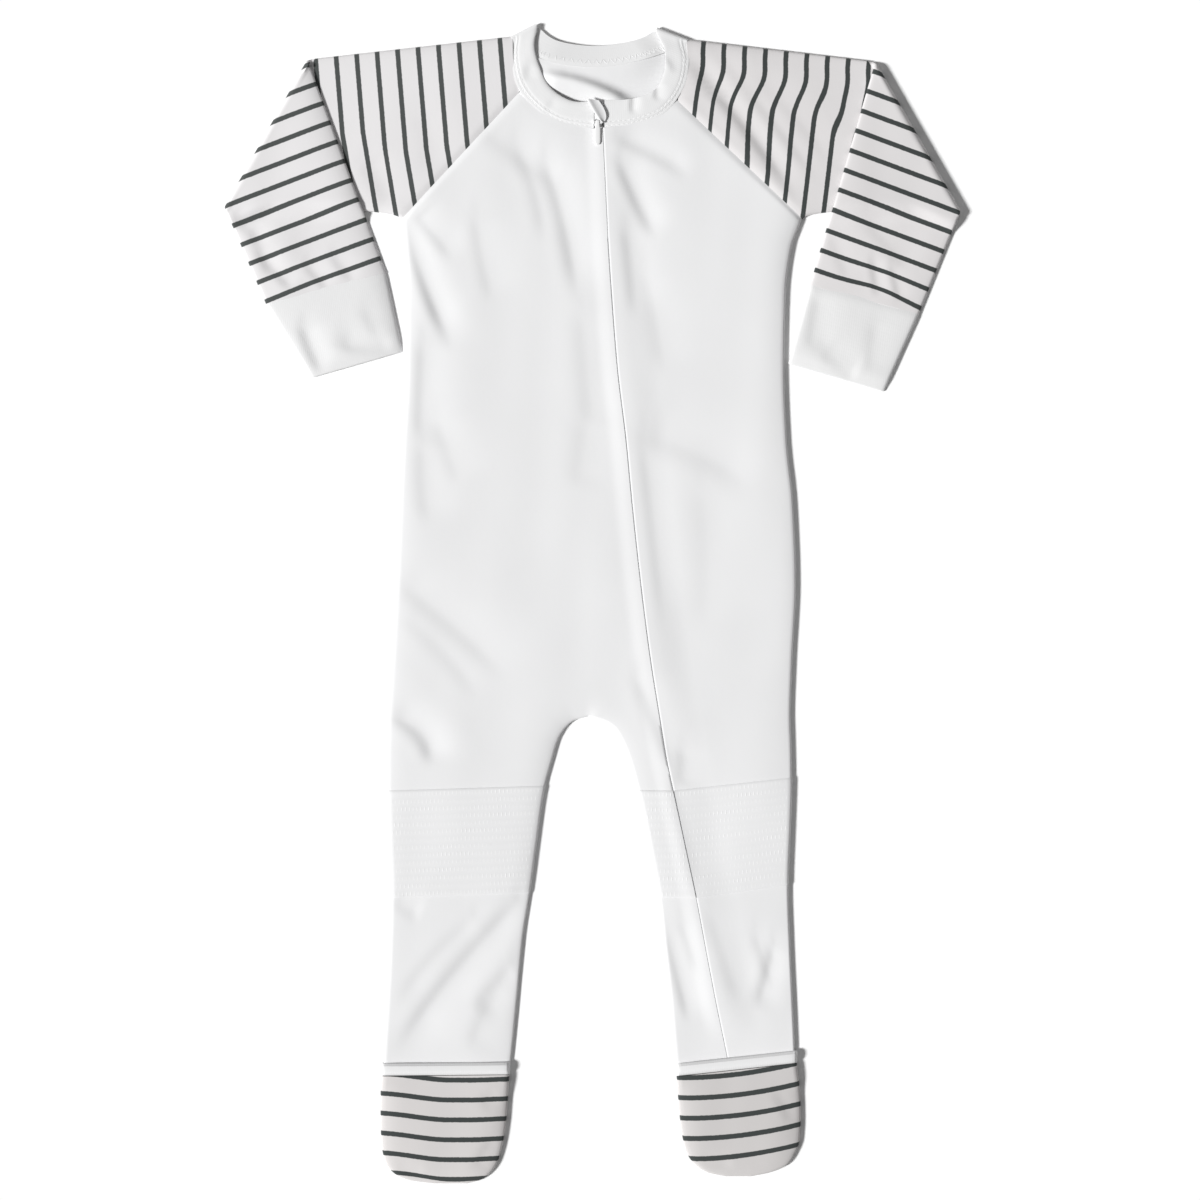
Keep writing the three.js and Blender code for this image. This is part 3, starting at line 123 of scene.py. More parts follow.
@dataclass(frozen=True)
class Table:
    """Sections in a short table with named columns, from the neck down."""

    columns: tuple[str, ...]
    rows: tuple[tuple[float, ...], ...]

    def column(self, name: str) -> np.ndarray:
        """One column's values."""
        return np.array([row[self.columns.index(name)] for row in self.rows], float)

    def reader(self, name: str) -> Reader:
        """Makes a smooth curve through one column, without overshoot.

        Args:
            name: The column that is read against the column y.

        Returns:
            A function from heights y to the column's values.
        """
        ys, values = self.column("y"), self.column(name)
        slopes = np.diff(values) / np.diff(ys)
        inner = [0.0 if a * b <= 0 else 2 * a * b / (a + b) for a, b in zip(slopes, slopes[1:])]
        tangents = np.array([slopes[0], *inner, slopes[-1]])

        def read(y: np.ndarray) -> np.ndarray:
            """Values of the column at heights y."""
            y = np.asarray(y, float)
            i = np.clip(np.searchsorted(-ys, -y), 1, len(ys) - 1)
            span = ys[i] - ys[i - 1]
            t = np.clip((y - ys[i - 1]) / span, 0, 1)
            return (
                (2 * t**3 - 3 * t**2 + 1) * values[i - 1]
                + (t**3 - 2 * t**2 + t) * span * tangents[i - 1]
                + (3 * t**2 - 2 * t**3) * values[i]
                + (t**3 - t**2) * span * tangents[i]
            )

        return read


def smooth_run(points: Sequence[Pair], steps: int) -> np.ndarray:
    """Runs a centripetal curve through plan points.

    Args:
        points: The points that the curve goes through.
        steps: Number of equal steps of the point index.

    Returns:
        Points of the curve, one a row.
    """
    knots = np.array(points, float)
    ends = np.vstack([2 * knots[0] - knots[1], knots, 2 * knots[-1] - knots[-2]])
    run = []
    for t in np.linspace(0, len(knots) - 1, steps + 1):
        i = min(int(t), len(knots) - 2)
        p = ends[i:i + 4]
        d0, d1, d2 = (np.linalg.norm(p[k + 1] - p[k]) ** 0.5 for k in range(3))
        t1 = ((p[1] - p[0]) / d0 - (p[2] - p[0]) / (d0 + d1) + (p[2] - p[1]) / d1) * d1
        t2 = ((p[2] - p[1]) / d1 - (p[3] - p[1]) / (d1 + d2) + (p[3] - p[2]) / d2) * d1
        w = t - i
        run.append(
            (2 * w**3 - 3 * w**2 + 1) * p[1] + (w**3 - 2 * w**2 + w) * t1
            + (3 * w**2 - 2 * w**3) * p[2] + (w**3 - w**2) * t2
        )
    return np.array(run)


# Outline of the body and legs
BODY = Table(
    ("y", "left", "zip", "right"),
    (
        (205.4, -101.9, 7.7, 112.1),
        (190, -100, 8.7, 106.3),
        (165, -99, 10.4, 103.2),
        (125, -99.3, 13.6, 102.5),
        (87.5, -101.4, 18.1, 103.9),
        (53, -103.2, 21.4, 107.3),
        (10.5, -105, 26, 108.8),
        (-30, -107.4, 31.2, 106.9),
        (-62, -109.4, 36.3, 105.9),
        (-84, -109.9, 39.9, 106.4),
        (-100, -109.7, 43.3, 106.6),
        (-125, -109, 48.6, 105.9),
        (-157, -107.9, 55.4, 104.8),
        (-190, -108.8, 61.6, 105.8),
        (-215, -110.1, 66.4, 106.9),
        (-240, -111.6, 71.6, 108),
        (-250, -112, 73.6, 108.3),
    ),
)
INSEAM = Table(
    ("y", "left", "right"),
    (
        (-60.6, -2.4, -2.4),
        (-62.3, -9.4, 4.5),
        (-66, -14, 10.6),
        (-73.5, -18.4, 15.4),
        (-84, -21.3, 19.6),
        (-104, -26.3, 25),
        (-130, -30, 30.4),
        (-157, -33.6, 35.3),
        (-180, -37.2, 38),
        (-212, -40.4, 41.4),
        (-240, -43.2, 43.8),
        (-250, -44.3, 44.6),
    ),
)
left_edge, right_edge, zip_line = (BODY.reader(name) for name in ("left", "right", "zip"))
left_inseam, right_inseam = (INSEAM.reader(name) for name in ("left", "right"))

YOKE_Y = 196.0
CROTCH_Y = -60.6
LEG_END = -249.0
KNEE_TOP = -99.9
KNEE_BOTTOM = -157.3
ZIP_TOP = (5.6, 251.6)


def zip_at(y: np.ndarray) -> np.ndarray:
    """Place of the zip line across the front, up to the neck seam."""
    share = (y - YOKE_Y) / (ZIP_TOP[1] - YOKE_Y)
    return np.where(y > YOKE_Y, mix(zip_line(YOKE_Y), ZIP_TOP[0], np.clip(share, 0, 1)), zip_line(y))


@dataclass(frozen=True)
class SleeveCut:
    """Corners of one sleeve and its cuff as they lie, and how its stripes run."""

    side: str
    neck: Pair
    raglan_x: float
    underarm: Pair
    crease_top: Pair
    crease_end: Pair
    wrist_in: Pair
    wrist_out: Pair
    hem_in: Pair
    hem_out: Pair
    upper_phase: float
    upper_pitch: float
    fore_phase: float
    fore_pitch: float
    fore_lean: float
    pressed: float

    def frame(self) -> tuple[np.ndarray, np.ndarray]:
        """Unit plan vectors down along the crease and inward from it."""
        down = unit(np.subtract(self.crease_end, self.crease_top))
        inward = np.array([-down[1], down[0]])
        towards = np.subtract(self.neck, self.crease_top)
        return down, inward if inward @ towards > 0 else -inward

    def depth(self, points: np.ndarray) -> np.ndarray:
        """How far inward from the crease plan points lie."""
        return (points - np.array(self.crease_top)) @ self.frame()[1]

    def underside(self, share: np.ndarray) -> np.ndarray:
        """Places on the underside edge of the upper arm at shares of its length."""
        share = np.asarray(share, float)
        line = mix(np.array(self.underarm), np.array(self.crease_end), share[:, None])
        line[:, 1] += UNDERARM_RISE * np.sin(math.pi * np.sqrt(share))
        return line


UNDERARM_RISE = 3.0
CREASE_CROWN = 3.0
CREASE_AXIS = 3.2
CREASE_SETTLE = 80.0

LEFT_SLEEVE = SleeveCut(
    side="left", neck=(-43.6, 303.1), raglan_x=-38, underarm=(-101.9, 205.4),
    crease_top=(-152.2, 290.8), crease_end=(-196.6, 211.6),
    wrist_in=(-110.7, 177.6), wrist_out=(-174.6, 160.2),
    hem_in=(-101.4, 134.6), hem_out=(-150.1, 120.6),
    upper_phase=4.3, upper_pitch=11.0, fore_phase=3.4, fore_pitch=10.97, fore_lean=20.8, pressed=1.2,
)
RIGHT_SLEEVE = SleeveCut(
    side="right", neck=(51.1, 301.5), raglan_x=44.2, underarm=(112.1, 205.4),
    crease_top=(151.1, 289.6), crease_end=(196.6, 209.7),
    wrist_in=(116.4, 170.8), wrist_out=(174.5, 155),
    hem_in=(104.6, 128.1), hem_out=(155.7, 113.2),
    upper_phase=3.3, upper_pitch=11.12, fore_phase=5.9, fore_pitch=10.97, fore_lean=20.3, pressed=0.0,
)
SLEEVES = (LEFT_SLEEVE, RIGHT_SLEEVE)


CREASE_LEAN = np.array([-0.97, -0.24])


@dataclass(frozen=True)
class Crease:
    """Soft trough along a bent line on the cloth, or a ridge where its depth is negative."""

    start: Pair
    over: Pair
    end: Pair
    depth: float
    width: float
    lip: float = 0.12

    def relief(self, points: np.ndarray) -> np.ndarray:
        """Depth of the trough below the cloth at plan points: steeper on its left, as pressed."""
        t = np.linspace(0, 1, 11)[:, None]
        start, over, end = (np.array(place, float) for place in (self.start, self.over, self.end))
        line = (1 - t) ** 2 * start + 2 * t * (1 - t) * over + t**2 * end
        distance, share, away = nearest(points, line)
        fade = ease(-0.12, 0.16, share) * ease(0, 0.3, 1 - share)
        left = unit(away) @ CREASE_LEAN * math.copysign(1, self.depth)
        distance = distance / (self.width * mix(1.9, 0.8, ease(-0.5, 0.5, left)))
        return self.depth * fade * (np.exp(-(distance**2)) - self.lip * np.exp(-((distance - 2) ** 2)))


# Creases of the fronts and upper arms, from the neck down
BODY_CREASES = (
    Crease((-100.3, 206.8), (-93, 176), (-72, 134), 1.6, 4.4),
    Crease((-92.8, 208.4), (-86, 200), (-71, 183), 0.8, 4.5),
    Crease((-61, 206), (-58, 180), (-51, 160), 0.5, 5),
    Crease((-89.6, 140), (-91, 108), (-91.5, 84), 0.9, 5),
    Crease((-89, 84), (-91, 62), (-85, 40), 0.6, 6),
    Crease((-81.6, 98.2), (-76, 82), (-68.2, 62), 0.5, 6),
    Crease((-103, 12.6), (-74, -8), (-41.5, -40.9), 0.9, 7),
    Crease((-100, -6), (-76, -22), (-58, -52), 0.5, 6),
    Crease((-106.7, -59.7), (-84, -68), (-85, -88), 1.25, 4.8),
    Crease((-38.8, -161.3), (-80, -202), (-105.1, -243), 1.45, 5.4),
    Crease((-41.5, -196), (-52, -205), (-63, -219), 0.9, 5),
    Crease((-105, -160), (-99, -163), (-91, -167), 0.5, 4),
    Crease((-24, 236), (-12, 205), (-6, 158), 1.1, 5.4),
    Crease((-40, 244), (-26, 222), (-24, 190), 0.6, 5),
    Crease((-4, 155), (-2, 120), (2, 92), 0.5, 7),
    Crease((-2, 96), (-4, 78), (-7, 60), 0.4, 7),
    Crease((15.5, 236), (24, 214), (36, 194), 0.95, 3.8),
    Crease((19, 200), (21.5, 180), (24, 150), 0.65, 4.2),
    Crease((14, 249), (34, 241), (54, 228), 0.8, 3.6),
    Crease((30, 176), (36, 150), (40, 120), 0.5, 6),
    Crease((28.1, 84), (33.5, 45), (40.4, -22), 0.5, 4.5),
    Crease((30, 90.1), (58, 84.8), (89.6, 62), 0.7, 8),
    Crease((60, 60), (66, 20), (60, -20), 0.35, 9),
    Crease((26, -40), (36, -66), (46, -90), 0.7, 5),
    Crease((49, -78), (50, -88), (47, -98), 0.6, 4),
    Crease((44, -92), (54, -122), (60, -158), 0.75, 7, 0.0),
    Crease((64, -164), (72, -190), (82, -216), 0.6, 6),
    Crease((39, -174), (47, -200), (53, -226), 1.1, 4.0),
    Crease((48, -170), (54, -184), (58, -198), 0.4, 4),
    Crease((98, -184), (95, -200), (88, -218), 0.9, 4.4),
    Crease((88, -176), (92, -190), (99, -206), 0.35, 4),
    Crease((-62, -170), (-88, -190), (-104, -216), 0.55, 4.5),
    Crease((-48, -206), (-60, -224), (-64, -240), 0.45, 5),
    Crease((-60, 256), (-30, 232), (-18, 226), 0.5, 6),
    Crease((52, 291), (80, 262), (114, 212), 1.6, 4.6),
    Crease((66, 296), (96, 262), (124, 224), 1.0, 5),
    Crease((88, 284), (110, 262), (132, 232), 0.5, 5),
    Crease((-120, 236), (-112, 224), (-106, 208), 0.7, 5),
    Crease((-90, 262), (-84, 244), (-86, 228), 0.4, 6),
)
FOREARM_CREASES = (
    Crease((-192, 208), (-182, 200), (-174, 192), 0.7, 3.5),
    Crease((-176, 186), (-168, 176), (-158, 168), 0.8, 3.2),
    Crease((-180, 196), (-176, 184), (-170, 172), 0.6, 3.4),
    Crease((-152, 181), (-146, 174), (-140, 168), 0.6, 2.8),
    Crease((-138, 186), (-132, 178), (-126, 172), 0.5, 3),
    Crease((148, 206), (160, 190), (172, 178), 0.5, 5),
    Crease((128, 196), (134, 184), (138, 172), 0.4, 4),
    Crease((150, 184), (152, 172), (153, 163), 0.6, 2.6),
    Crease((160, 180), (163, 170), (165, 160), 0.5, 2.4),
)
CUFF_CREASES = (
    Crease((-154, 148), (-151, 136), (-143, 122), 1.1, 3.6),
    Crease((-134, 139), (-118, 136), (-104, 140), 1.0, 3.6),
    Crease((-120, 158), (-118, 150), (-112, 142), 0.4, 4),
    Crease((121, 164), (119, 148), (117, 134), 0.8, 4.5),
    Crease((124, 136), (136, 124), (142, 122), 0.7, 5),
    Crease((152, 150), (149, 136), (150, 122), 0.4, 4.5),
)


class FirstLayer:
    """The cloth of the fronts and upper arms: its height above the surface at a place."""

    def __init__(self, grooves: Sequence[tuple[float, np.ndarray]]) -> None:
        """Gathers the edges that the cloth rolls down to.

        Args:
            grooves: How deep each sewn seam draws the cloth in, and its line.
        """
        down = np.linspace(205.4, LEG_END, 40)
        self.grooves = grooves
        self.rims = [
            (RIM_TOP, np.column_stack([left_edge(down), down])),
            (FULL_RIM, np.column_stack([right_edge(down), down])),
            (LOW_RIM, np.column_stack([INSEAM.column("left"), INSEAM.column("y")])),
            (RIM_TOP, np.column_stack([INSEAM.column("right"), INSEAM.column("y")])),
        ]
        for cut in SLEEVES:
            self.rims.append((RIM_TOP, np.array([cut.neck, cut.crease_top], float)))
            self.rims.append((RIM_TOP, cut.underside(np.linspace(0, 1, 9))))

    @staticmethod
    def crown(points: np.ndarray) -> np.ndarray:
        """Height away from all edges: lower at the arms' creases, on the body and down the legs."""
        crown = np.full(len(points), CROWN_TOP)
        for cut in SLEEVES:
            near = ease(0, CREASE_SETTLE, cut.depth(points))
            crown = np.minimum(crown, mix(CREASE_CROWN, CROWN_TOP, near))
        left, right = ease(218, 242, -points[:, 1]), ease(210, 234, -points[:, 1])
        crown = np.minimum(crown, mix(CROWN_TOP, BODY_CROWN, ease(-215, -140, -points[:, 1])))
        crown = mix(crown, LEG_CROWN, ease(62, 125, -points[:, 1]))
        return mix(crown, LEG_END_CROWN, np.where(points[:, 0] < 0, left, right))

    @staticmethod
    def undulation(points: np.ndarray) -> np.ndarray:
        """Slight waves of cloth that was smoothed by hand, mostly down the garment."""
        x, y = points[:, 0], points[:, 1]
        waves = 0.08 * np.sin(x / 8.3 + y / 61 + 1.3 * np.sin(y / 47))
        waves += 0.05 * np.sin(x / 5.1 - y / 33 + 0.9 * np.sin(x / 23 + y / 71))
        return waves + 0.07 * np.sin(x / 13.7 + y / 19.3)

    def top(self, points: np.ndarray) -> np.ndarray:
        """Height of the cloth's upper face at plan points, with its creases and drawn seams."""
        crown = self.crown(points)
        inside = [1 - np.exp(-nearest(points, rim)[0] / RIM_REACH) for _, rim in self.rims]
        heights = [np.minimum(top, crown) + np.maximum(crown - top, 0) * share
                   for (top, _), share in zip(self.rims, inside)]
        relief = sum(crease.relief(points) for crease in BODY_CREASES)
        height = np.min(heights, axis=0) + (self.undulation(points) - relief) * np.min(inside, axis=0)
        for draw, seam in self.grooves:
            height -= draw * np.exp(-((nearest(points, seam)[0] / SEAM_REACH) ** 2))
        return height


RAGLAN_DRAW = 0.75
NECK_DRAW = 0.15
SEAM_REACH = 1.5


class Shell:
    """Mesh of one piece, gathered from grids of points in millimetres."""

    def __init__(self) -> None:
        """Starts with no points and no faces."""
        self.points: list[np.ndarray] = []
        self.cloth: list[np.ndarray] = []
        self.quads: list[np.ndarray] = []
        self.count = 0

    def add(self, points: np.ndarray, cloth: np.ndarray | None = None) -> np.ndarray:
        """Adds points and gives their numbers.

        Args:
            points: Points with the last axis x, y, z.
            cloth: Place in the cloth of each: across, along, and stripe count.

        Returns:
            The points' numbers, shaped as the points are.
        """
        points = np.asarray(points, float)
        flat = points.reshape(-1, 3)
        if cloth is None:
            cloth = np.column_stack([flat[:, :2], np.zeros(len(flat))])
        self.points.append(flat)
        self.cloth.append(np.asarray(cloth, float).reshape(-1, 3))
        numbers = np.arange(self.count, self.count + len(flat)).reshape(points.shape[:-1])
        self.count += len(flat)
        return numbers

    def grid(self, numbers: np.ndarray, around: bool = False) -> None:
        """Adds faces between the rows of a grid, which run down, and its columns, to the right.

        Args:
            numbers: Point numbers, one row a line of the grid.
            around: Whether the last column meets the first.
        """
        if around:
            numbers = np.column_stack([numbers, numbers[:, 0]])
        corners = [numbers[:-1, :-1], numbers[1:, :-1], numbers[1:, 1:], numbers[:-1, 1:]]
        self.quads.append(np.stack(corners, axis=-1).reshape(-1, 4))

    def roll(self, edge: np.ndarray, out: np.ndarray, reach: float, middle, bottom) -> None:
        """Rolls the cloth over and down along an edge, in a soft half round.

        Args:
            edge: Numbers of the edge's points, with the cloth on their left.
            out: Unit plan vectors away from the cloth, one for each point.
            reach: How far the roll stands out from the edge's points.
            middle: Height of the widest place.
            bottom: Height at which the roll ends.
        """
        at = np.vstack(self.points)[edge]
        kept = np.vstack(self.cloth)[edge]
        first = 0.45
        rows = [edge]
        for angle in np.linspace(first, 2.7, 8)[1:]:
            if angle <= math.pi / 2:
                share = (math.sin(angle) - math.sin(first)) / (1 - math.sin(first))
                height = middle + (at[:, 2] - middle) * math.cos(angle) / math.cos(first)
            else:
                share = math.sin(angle)
                height = middle + (middle - bottom) * math.cos(angle)
            ring = at.copy()
            ring[:, :2] += out * reach * share
            ring[:, 2] = height
            moved = kept.copy()
            moved[:, :2] += out * reach * angle
            rows.append(self.add(ring, moved))
        self.grid(np.stack(rows[::-1]) if self._turned(edge, out) else np.stack(rows))

    def _turned(self, edge: np.ndarray, out: np.ndarray) -> bool:
        """Whether rings that leave an edge outward have to be listed from the last one."""
        at = np.vstack(self.points)[edge]
        step = at[-1, :2] - at[0, :2] if len(at) < 3 else np.diff(at[:, :2], axis=0)[len(at) // 2]
        side = out[len(at) // 2]
        return bool(step[0] * side[1] - step[1] * side[0] > 0)

    def thicken(self, thickness: float) -> None:
        """Makes the gathered skin a closed wall, moved in from it by a thickness."""
        points, quads = np.vstack(self.points), np.vstack(self.quads)
        across = points[quads[:, 2]] - points[quads[:, 0]]
        along = points[quads[:, 3]] - points[quads[:, 1]]
        normals = np.zeros_like(points)
        for corner in range(4):
            np.add.at(normals, quads[:, corner], np.cross(across, along))
        inner = points - thickness * unit(normals)
        count = len(points)
        edges = np.vstack([quads[:, [k, (k + 1) % 4]] for k in range(4)])
        keys, reverse = edges @ [count, 1], edges[:, ::-1] @ [count, 1]
        rim = edges[~np.isin(keys, reverse)]
        sides = np.column_stack([rim[:, 1], rim[:, 0], rim[:, 0] + count, rim[:, 1] + count])
        self.points = [points, inner]
        self.cloth = [np.vstack(self.cloth)] * 2
        self.quads = [quads, quads[:, ::-1] + count, sides]
        self.count = 2 * count

    def build(self, name: str, finish: "Finish", body: str = GARMENT, sharp: float = 50) -> bpy.types.Object:
        """Writes the piece as an object that rides on a body.

        Args:
            name: The piece's name.
            finish: What dresses it.
            body: The body that it moves with.
            sharp: Angle in degrees from which an edge between faces is crisp.

        Returns:
            The object, with its finish.
        """
        points, quads = np.vstack(self.points) * MM, np.vstack(self.quads)
        mesh = bpy.data.meshes.new(name)
        mesh.from_pydata(points.tolist(), [], quads.tolist())
        mesh.validate()
        attribute = mesh.attributes.new("cloth", "FLOAT_VECTOR", "POINT")
        place = np.vstack(self.cloth) * [MM, MM, 1]
        attribute.data.foreach_set("vector", place.astype(np.float32).ravel())
        mesh.polygons.foreach_set("use_smooth", [True] * len(mesh.polygons))
        mesh.set_sharp_from_angle(angle=math.radians(sharp))
        mesh.materials.append(finish.material())
        piece = bpy.data.objects.new(name, mesh)
        bpy.context.scene.collection.objects.link(piece)
        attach(piece, body)
        LOG.info("%s: %d faces, %s", name, len(mesh.polygons), finish.slot)
        return piece


class Field:
    """A socket of a shader that can stand in a sum, so that masks read as plain maths."""

    def __init__(self, shader: "Shader", socket: bpy.types.NodeSocket) -> None:
        """Wraps a socket of a shader."""
        self.shader, self.socket = shader, socket

    def _math(self, operation: str, *values: "Field | float") -> "Field":
        """One Math node on values."""
        node = self.shader.node("ShaderNodeMath", {"operation": operation}, dict(enumerate(values)))
        return Field(self.shader, node.outputs[0])

    def __add__(self, other: "Field | float") -> "Field":
        """Sum of two values."""
        return self._math("ADD", self, other)

    def __sub__(self, other: "Field | float") -> "Field":
        """Difference of two values."""
        return self._math("SUBTRACT", self, other)

    def __rsub__(self, other: float) -> "Field":
        """Number less this value."""
        return self._math("SUBTRACT", other, self)

    def __mul__(self, other: "Field | float") -> "Field":
        """Product of two values."""
        return self._math("MULTIPLY", self, other)

    __radd__ = __add__
    __rmul__ = __mul__

    def sine(self) -> "Field":
        """Sine of the value in radians."""
        return self._math("SINE", self)

    def size(self) -> "Field":
        """Value without its sign."""
        return self._math("ABSOLUTE", self)

    def fraction(self) -> "Field":
        """What is left of the value above its whole number."""
        return self._math("FRACT", self)

    def step(self, low: float, high: float) -> "Field":
        """Smooth step from 0 at low to 1 at high."""
        node = self.shader.node(
            "ShaderNodeMapRange", {"interpolation_type": "SMOOTHSTEP"},
            {"Value": self, "From Min": low, "From Max": high},
        )
        return Field(self.shader, node.outputs["Result"])


class Shader:
    """Node tree of one material."""

    def __init__(self, name: str) -> None:
        """Starts an empty tree with its surface shader."""
        self.made = bpy.data.materials.new(name)
        self.made.use_nodes = True
        self.tree = self.made.node_tree
        self.surface = self.tree.nodes["Principled BSDF"]

    def node(self, kind: str, settings: dict | None = None, values: dict | None = None) -> bpy.types.Node:
        """Adds a node.

        Args:
            kind: The node's type.
            settings: Its properties, set before its sockets.
            values: Numbers, colours, sockets or fields for its inputs, by name or number.

        Returns:
            The node.
        """
        node = self.tree.nodes.new(kind)
        for name, value in (settings or {}).items():
            setattr(node, name, value)
        for name, value in (values or {}).items():
            self.feed(node.inputs[name], value)
        return node

    def feed(self, socket: bpy.types.NodeSocket, value) -> None:
        """Sets a socket to a number or colour, or links what drives it."""
        source = value.socket if isinstance(value, Field) else value
        if isinstance(source, bpy.types.NodeSocket):
            self.tree.links.new(source, socket)
        else:
            socket.default_value = source

    def cloth(self) -> tuple[Field, Field, Field]:
        """Place in the cloth: across and along in metres, and stripe count."""
        place = self.node("ShaderNodeAttribute", {"attribute_name": "cloth"})
        parts = self.node("ShaderNodeSeparateXYZ", {}, {0: place.outputs["Vector"]})
        return tuple(Field(self, output) for output in parts.outputs)

    def noise(self, scale: float, detail: float = 2) -> Field:
        """Cloudy variation from 0 to 1, with clouds of about 1 / scale metres."""
        place = self.node("ShaderNodeTexCoord").outputs["Object"]
        node = self.node("ShaderNodeTexNoise", {}, {"Vector": place, "Scale": scale, "Detail": detail})
        return Field(self, node.outputs[0])

    def blend(self, factor: Field, first, second) -> bpy.types.NodeSocket:
        """Colour between two colours, by a factor."""
        node = self.node("ShaderNodeMix", {"data_type": "RGBA"})
        self.feed(node.inputs[0], factor)
        self.feed(node.inputs[6], first)
        self.feed(node.inputs[7], second)
        return node.outputs[2]

    def relief(self, height: Field, depth: float) -> None:
        """Raises the surface's fine relief by a height in metres."""
        node = self.node("ShaderNodeBump", {}, {"Height": height, "Distance": depth, "Strength": 1.0})
        self.feed(self.surface.inputs["Normal"], node.outputs[0])


Colour = tuple[float, float, float, float]


@dataclass(frozen=True)
class Finish:
    """A finish of the garment, on a material slot."""

    name: str
    slot: str
    colour: Colour
    roughness: float = 0.92
    sheen: float = 0.12

    def material(self) -> bpy.types.Material:
        """The finish's material, made once."""
        return bpy.data.materials.get(self.name) or self.make().made

    def make(self) -> Shader:
        """Makes the material."""
        shader = Shader(self.name)
        surface = shader.surface.inputs
        surface["Roughness"].default_value = self.roughness
        surface["Sheen Weight"].default_value = self.sheen
        surface["Sheen Roughness"].default_value = 0.5
        shader.feed(surface["Base Color"], self.tint(shader))
        return shader

    def tint(self, shader: Shader) -> bpy.types.NodeSocket:
        """Colour with slight clouds, as dyed cloth has."""
        shade = tuple(0.965 * part for part in self.colour[:3]) + (1.0,)
        return shader.blend(shader.noise(38), self.colour, shade)


class Knit(Enum):
    """How a knit's surface is raised: wales across and courses along, in metres."""

    JERSEY = (0.0011, 0.0015, 0.000016)
    RIB = (0.0024, 0.0019, 0.00003)


@dataclass(frozen=True)
class KnitFinish(Finish):
    """Plain knit cloth."""

    knit: Knit = Knit.JERSEY

    def make(self) -> Shader:
        """Makes the material, with wales of small V stitches."""
        shader = super().make()
        across, along, _ = shader.cloth()
        wale, course, depth = self.knit.value
        column = (across * (2 * math.pi / wale)).sine().size()
        stitch = (along * (2 * math.pi / course) + column * 2.2).sine()
        height = column * 0.6 + stitch * 0.15 + shader.noise(420, 3) * 1.6
        shader.relief(height, depth)
        return shader


@dataclass(frozen=True)
class StripedFinish(KnitFinish):
    """Knit with thin stripes, one at each whole stripe count."""

    stripe: Colour = (0.045, 0.053, 0.051, 1)
    half_width: float = 0.118

    def tint(self, shader: Shader) -> bpy.types.NodeSocket:
        """Ground colour with the stripes on it, their edges a stitch uneven."""
        ground = super().tint(shader)
        count = shader.cloth()[2] + (shader.noise(700, 1) - 0.5) * 0.03
        away = ((count + 0.5).fraction() - 0.5).size()
        inside = 1 - away.step(self.half_width - 0.02, self.half_width + 0.02)
        return shader.blend(inside, ground, self.stripe)


WHITE_KNIT = KnitFinish("white jersey", "white_knit", (0.79, 0.79, 0.795, 1))
WHITE_RIB = KnitFinish("white rib", "white_rib", (0.79, 0.79, 0.792, 1), knit=Knit.RIB)
# The right cuff's rib is the white rib made darker: painted shade on the same cloth as the left cuff.
PAINTED_SHADE_RIB = KnitFinish("white rib right painted shade", "white_rib", (0.752, 0.752, 0.752, 1), knit=Knit.RIB)
DARK_YARN, DEEP_YARN = (0.062, 0.069, 0.067, 1), (0.037, 0.044, 0.043, 1)
# The right sleeve's ground is darker than the left sleeve's: painted shade on the same striped knit.
SLEEVE_KNIT = {
    "left": StripedFinish("striped left", "striped_knit", (0.757, 0.744, 0.749, 1), stripe=DARK_YARN),
    "right": StripedFinish("striped right painted shade", "striped_knit", (0.70, 0.682, 0.683, 1), stripe=DEEP_YARN),
}
# The right foot's ground is darker than the left foot's: painted shade on the same striped knit.
FOOT_KNIT = {
    side: StripedFinish(f"striped foot {side}", "foot_knit", ground, stripe=DEEP_YARN, half_width=0.125)
    for side, ground in (("left", (0.64, 0.617, 0.61, 1)), ("right", (0.592, 0.572, 0.565, 1)))
}
THREAD = Finish("sewing thread", "white_rib", (0.83, 0.83, 0.83, 1), 0.6, 0.3)
TAPE_WEAVE = KnitFinish("zip tape", "zip_tape", (0.8, 0.8, 0.8, 1), 0.8, 0.05)
ENAMEL = Finish("white enamel", "zip_enamel", (0.84, 0.84, 0.84, 1), 0.32, 0.0)


def plan_normals(line: np.ndarray, right_hand: bool = True) -> np.ndarray:
    """Unit plan vectors across a line of points, to its right or left."""
    tangents = unit(np.gradient(line[:, :2], axis=0))
    normals = np.column_stack([tangents[:, 1], -tangents[:, 0]])
    return normals if right_hand else -normals


def lifted(plan: np.ndarray, height: np.ndarray) -> np.ndarray:
    """Plan points with a height each."""
    return np.column_stack([plan, height])


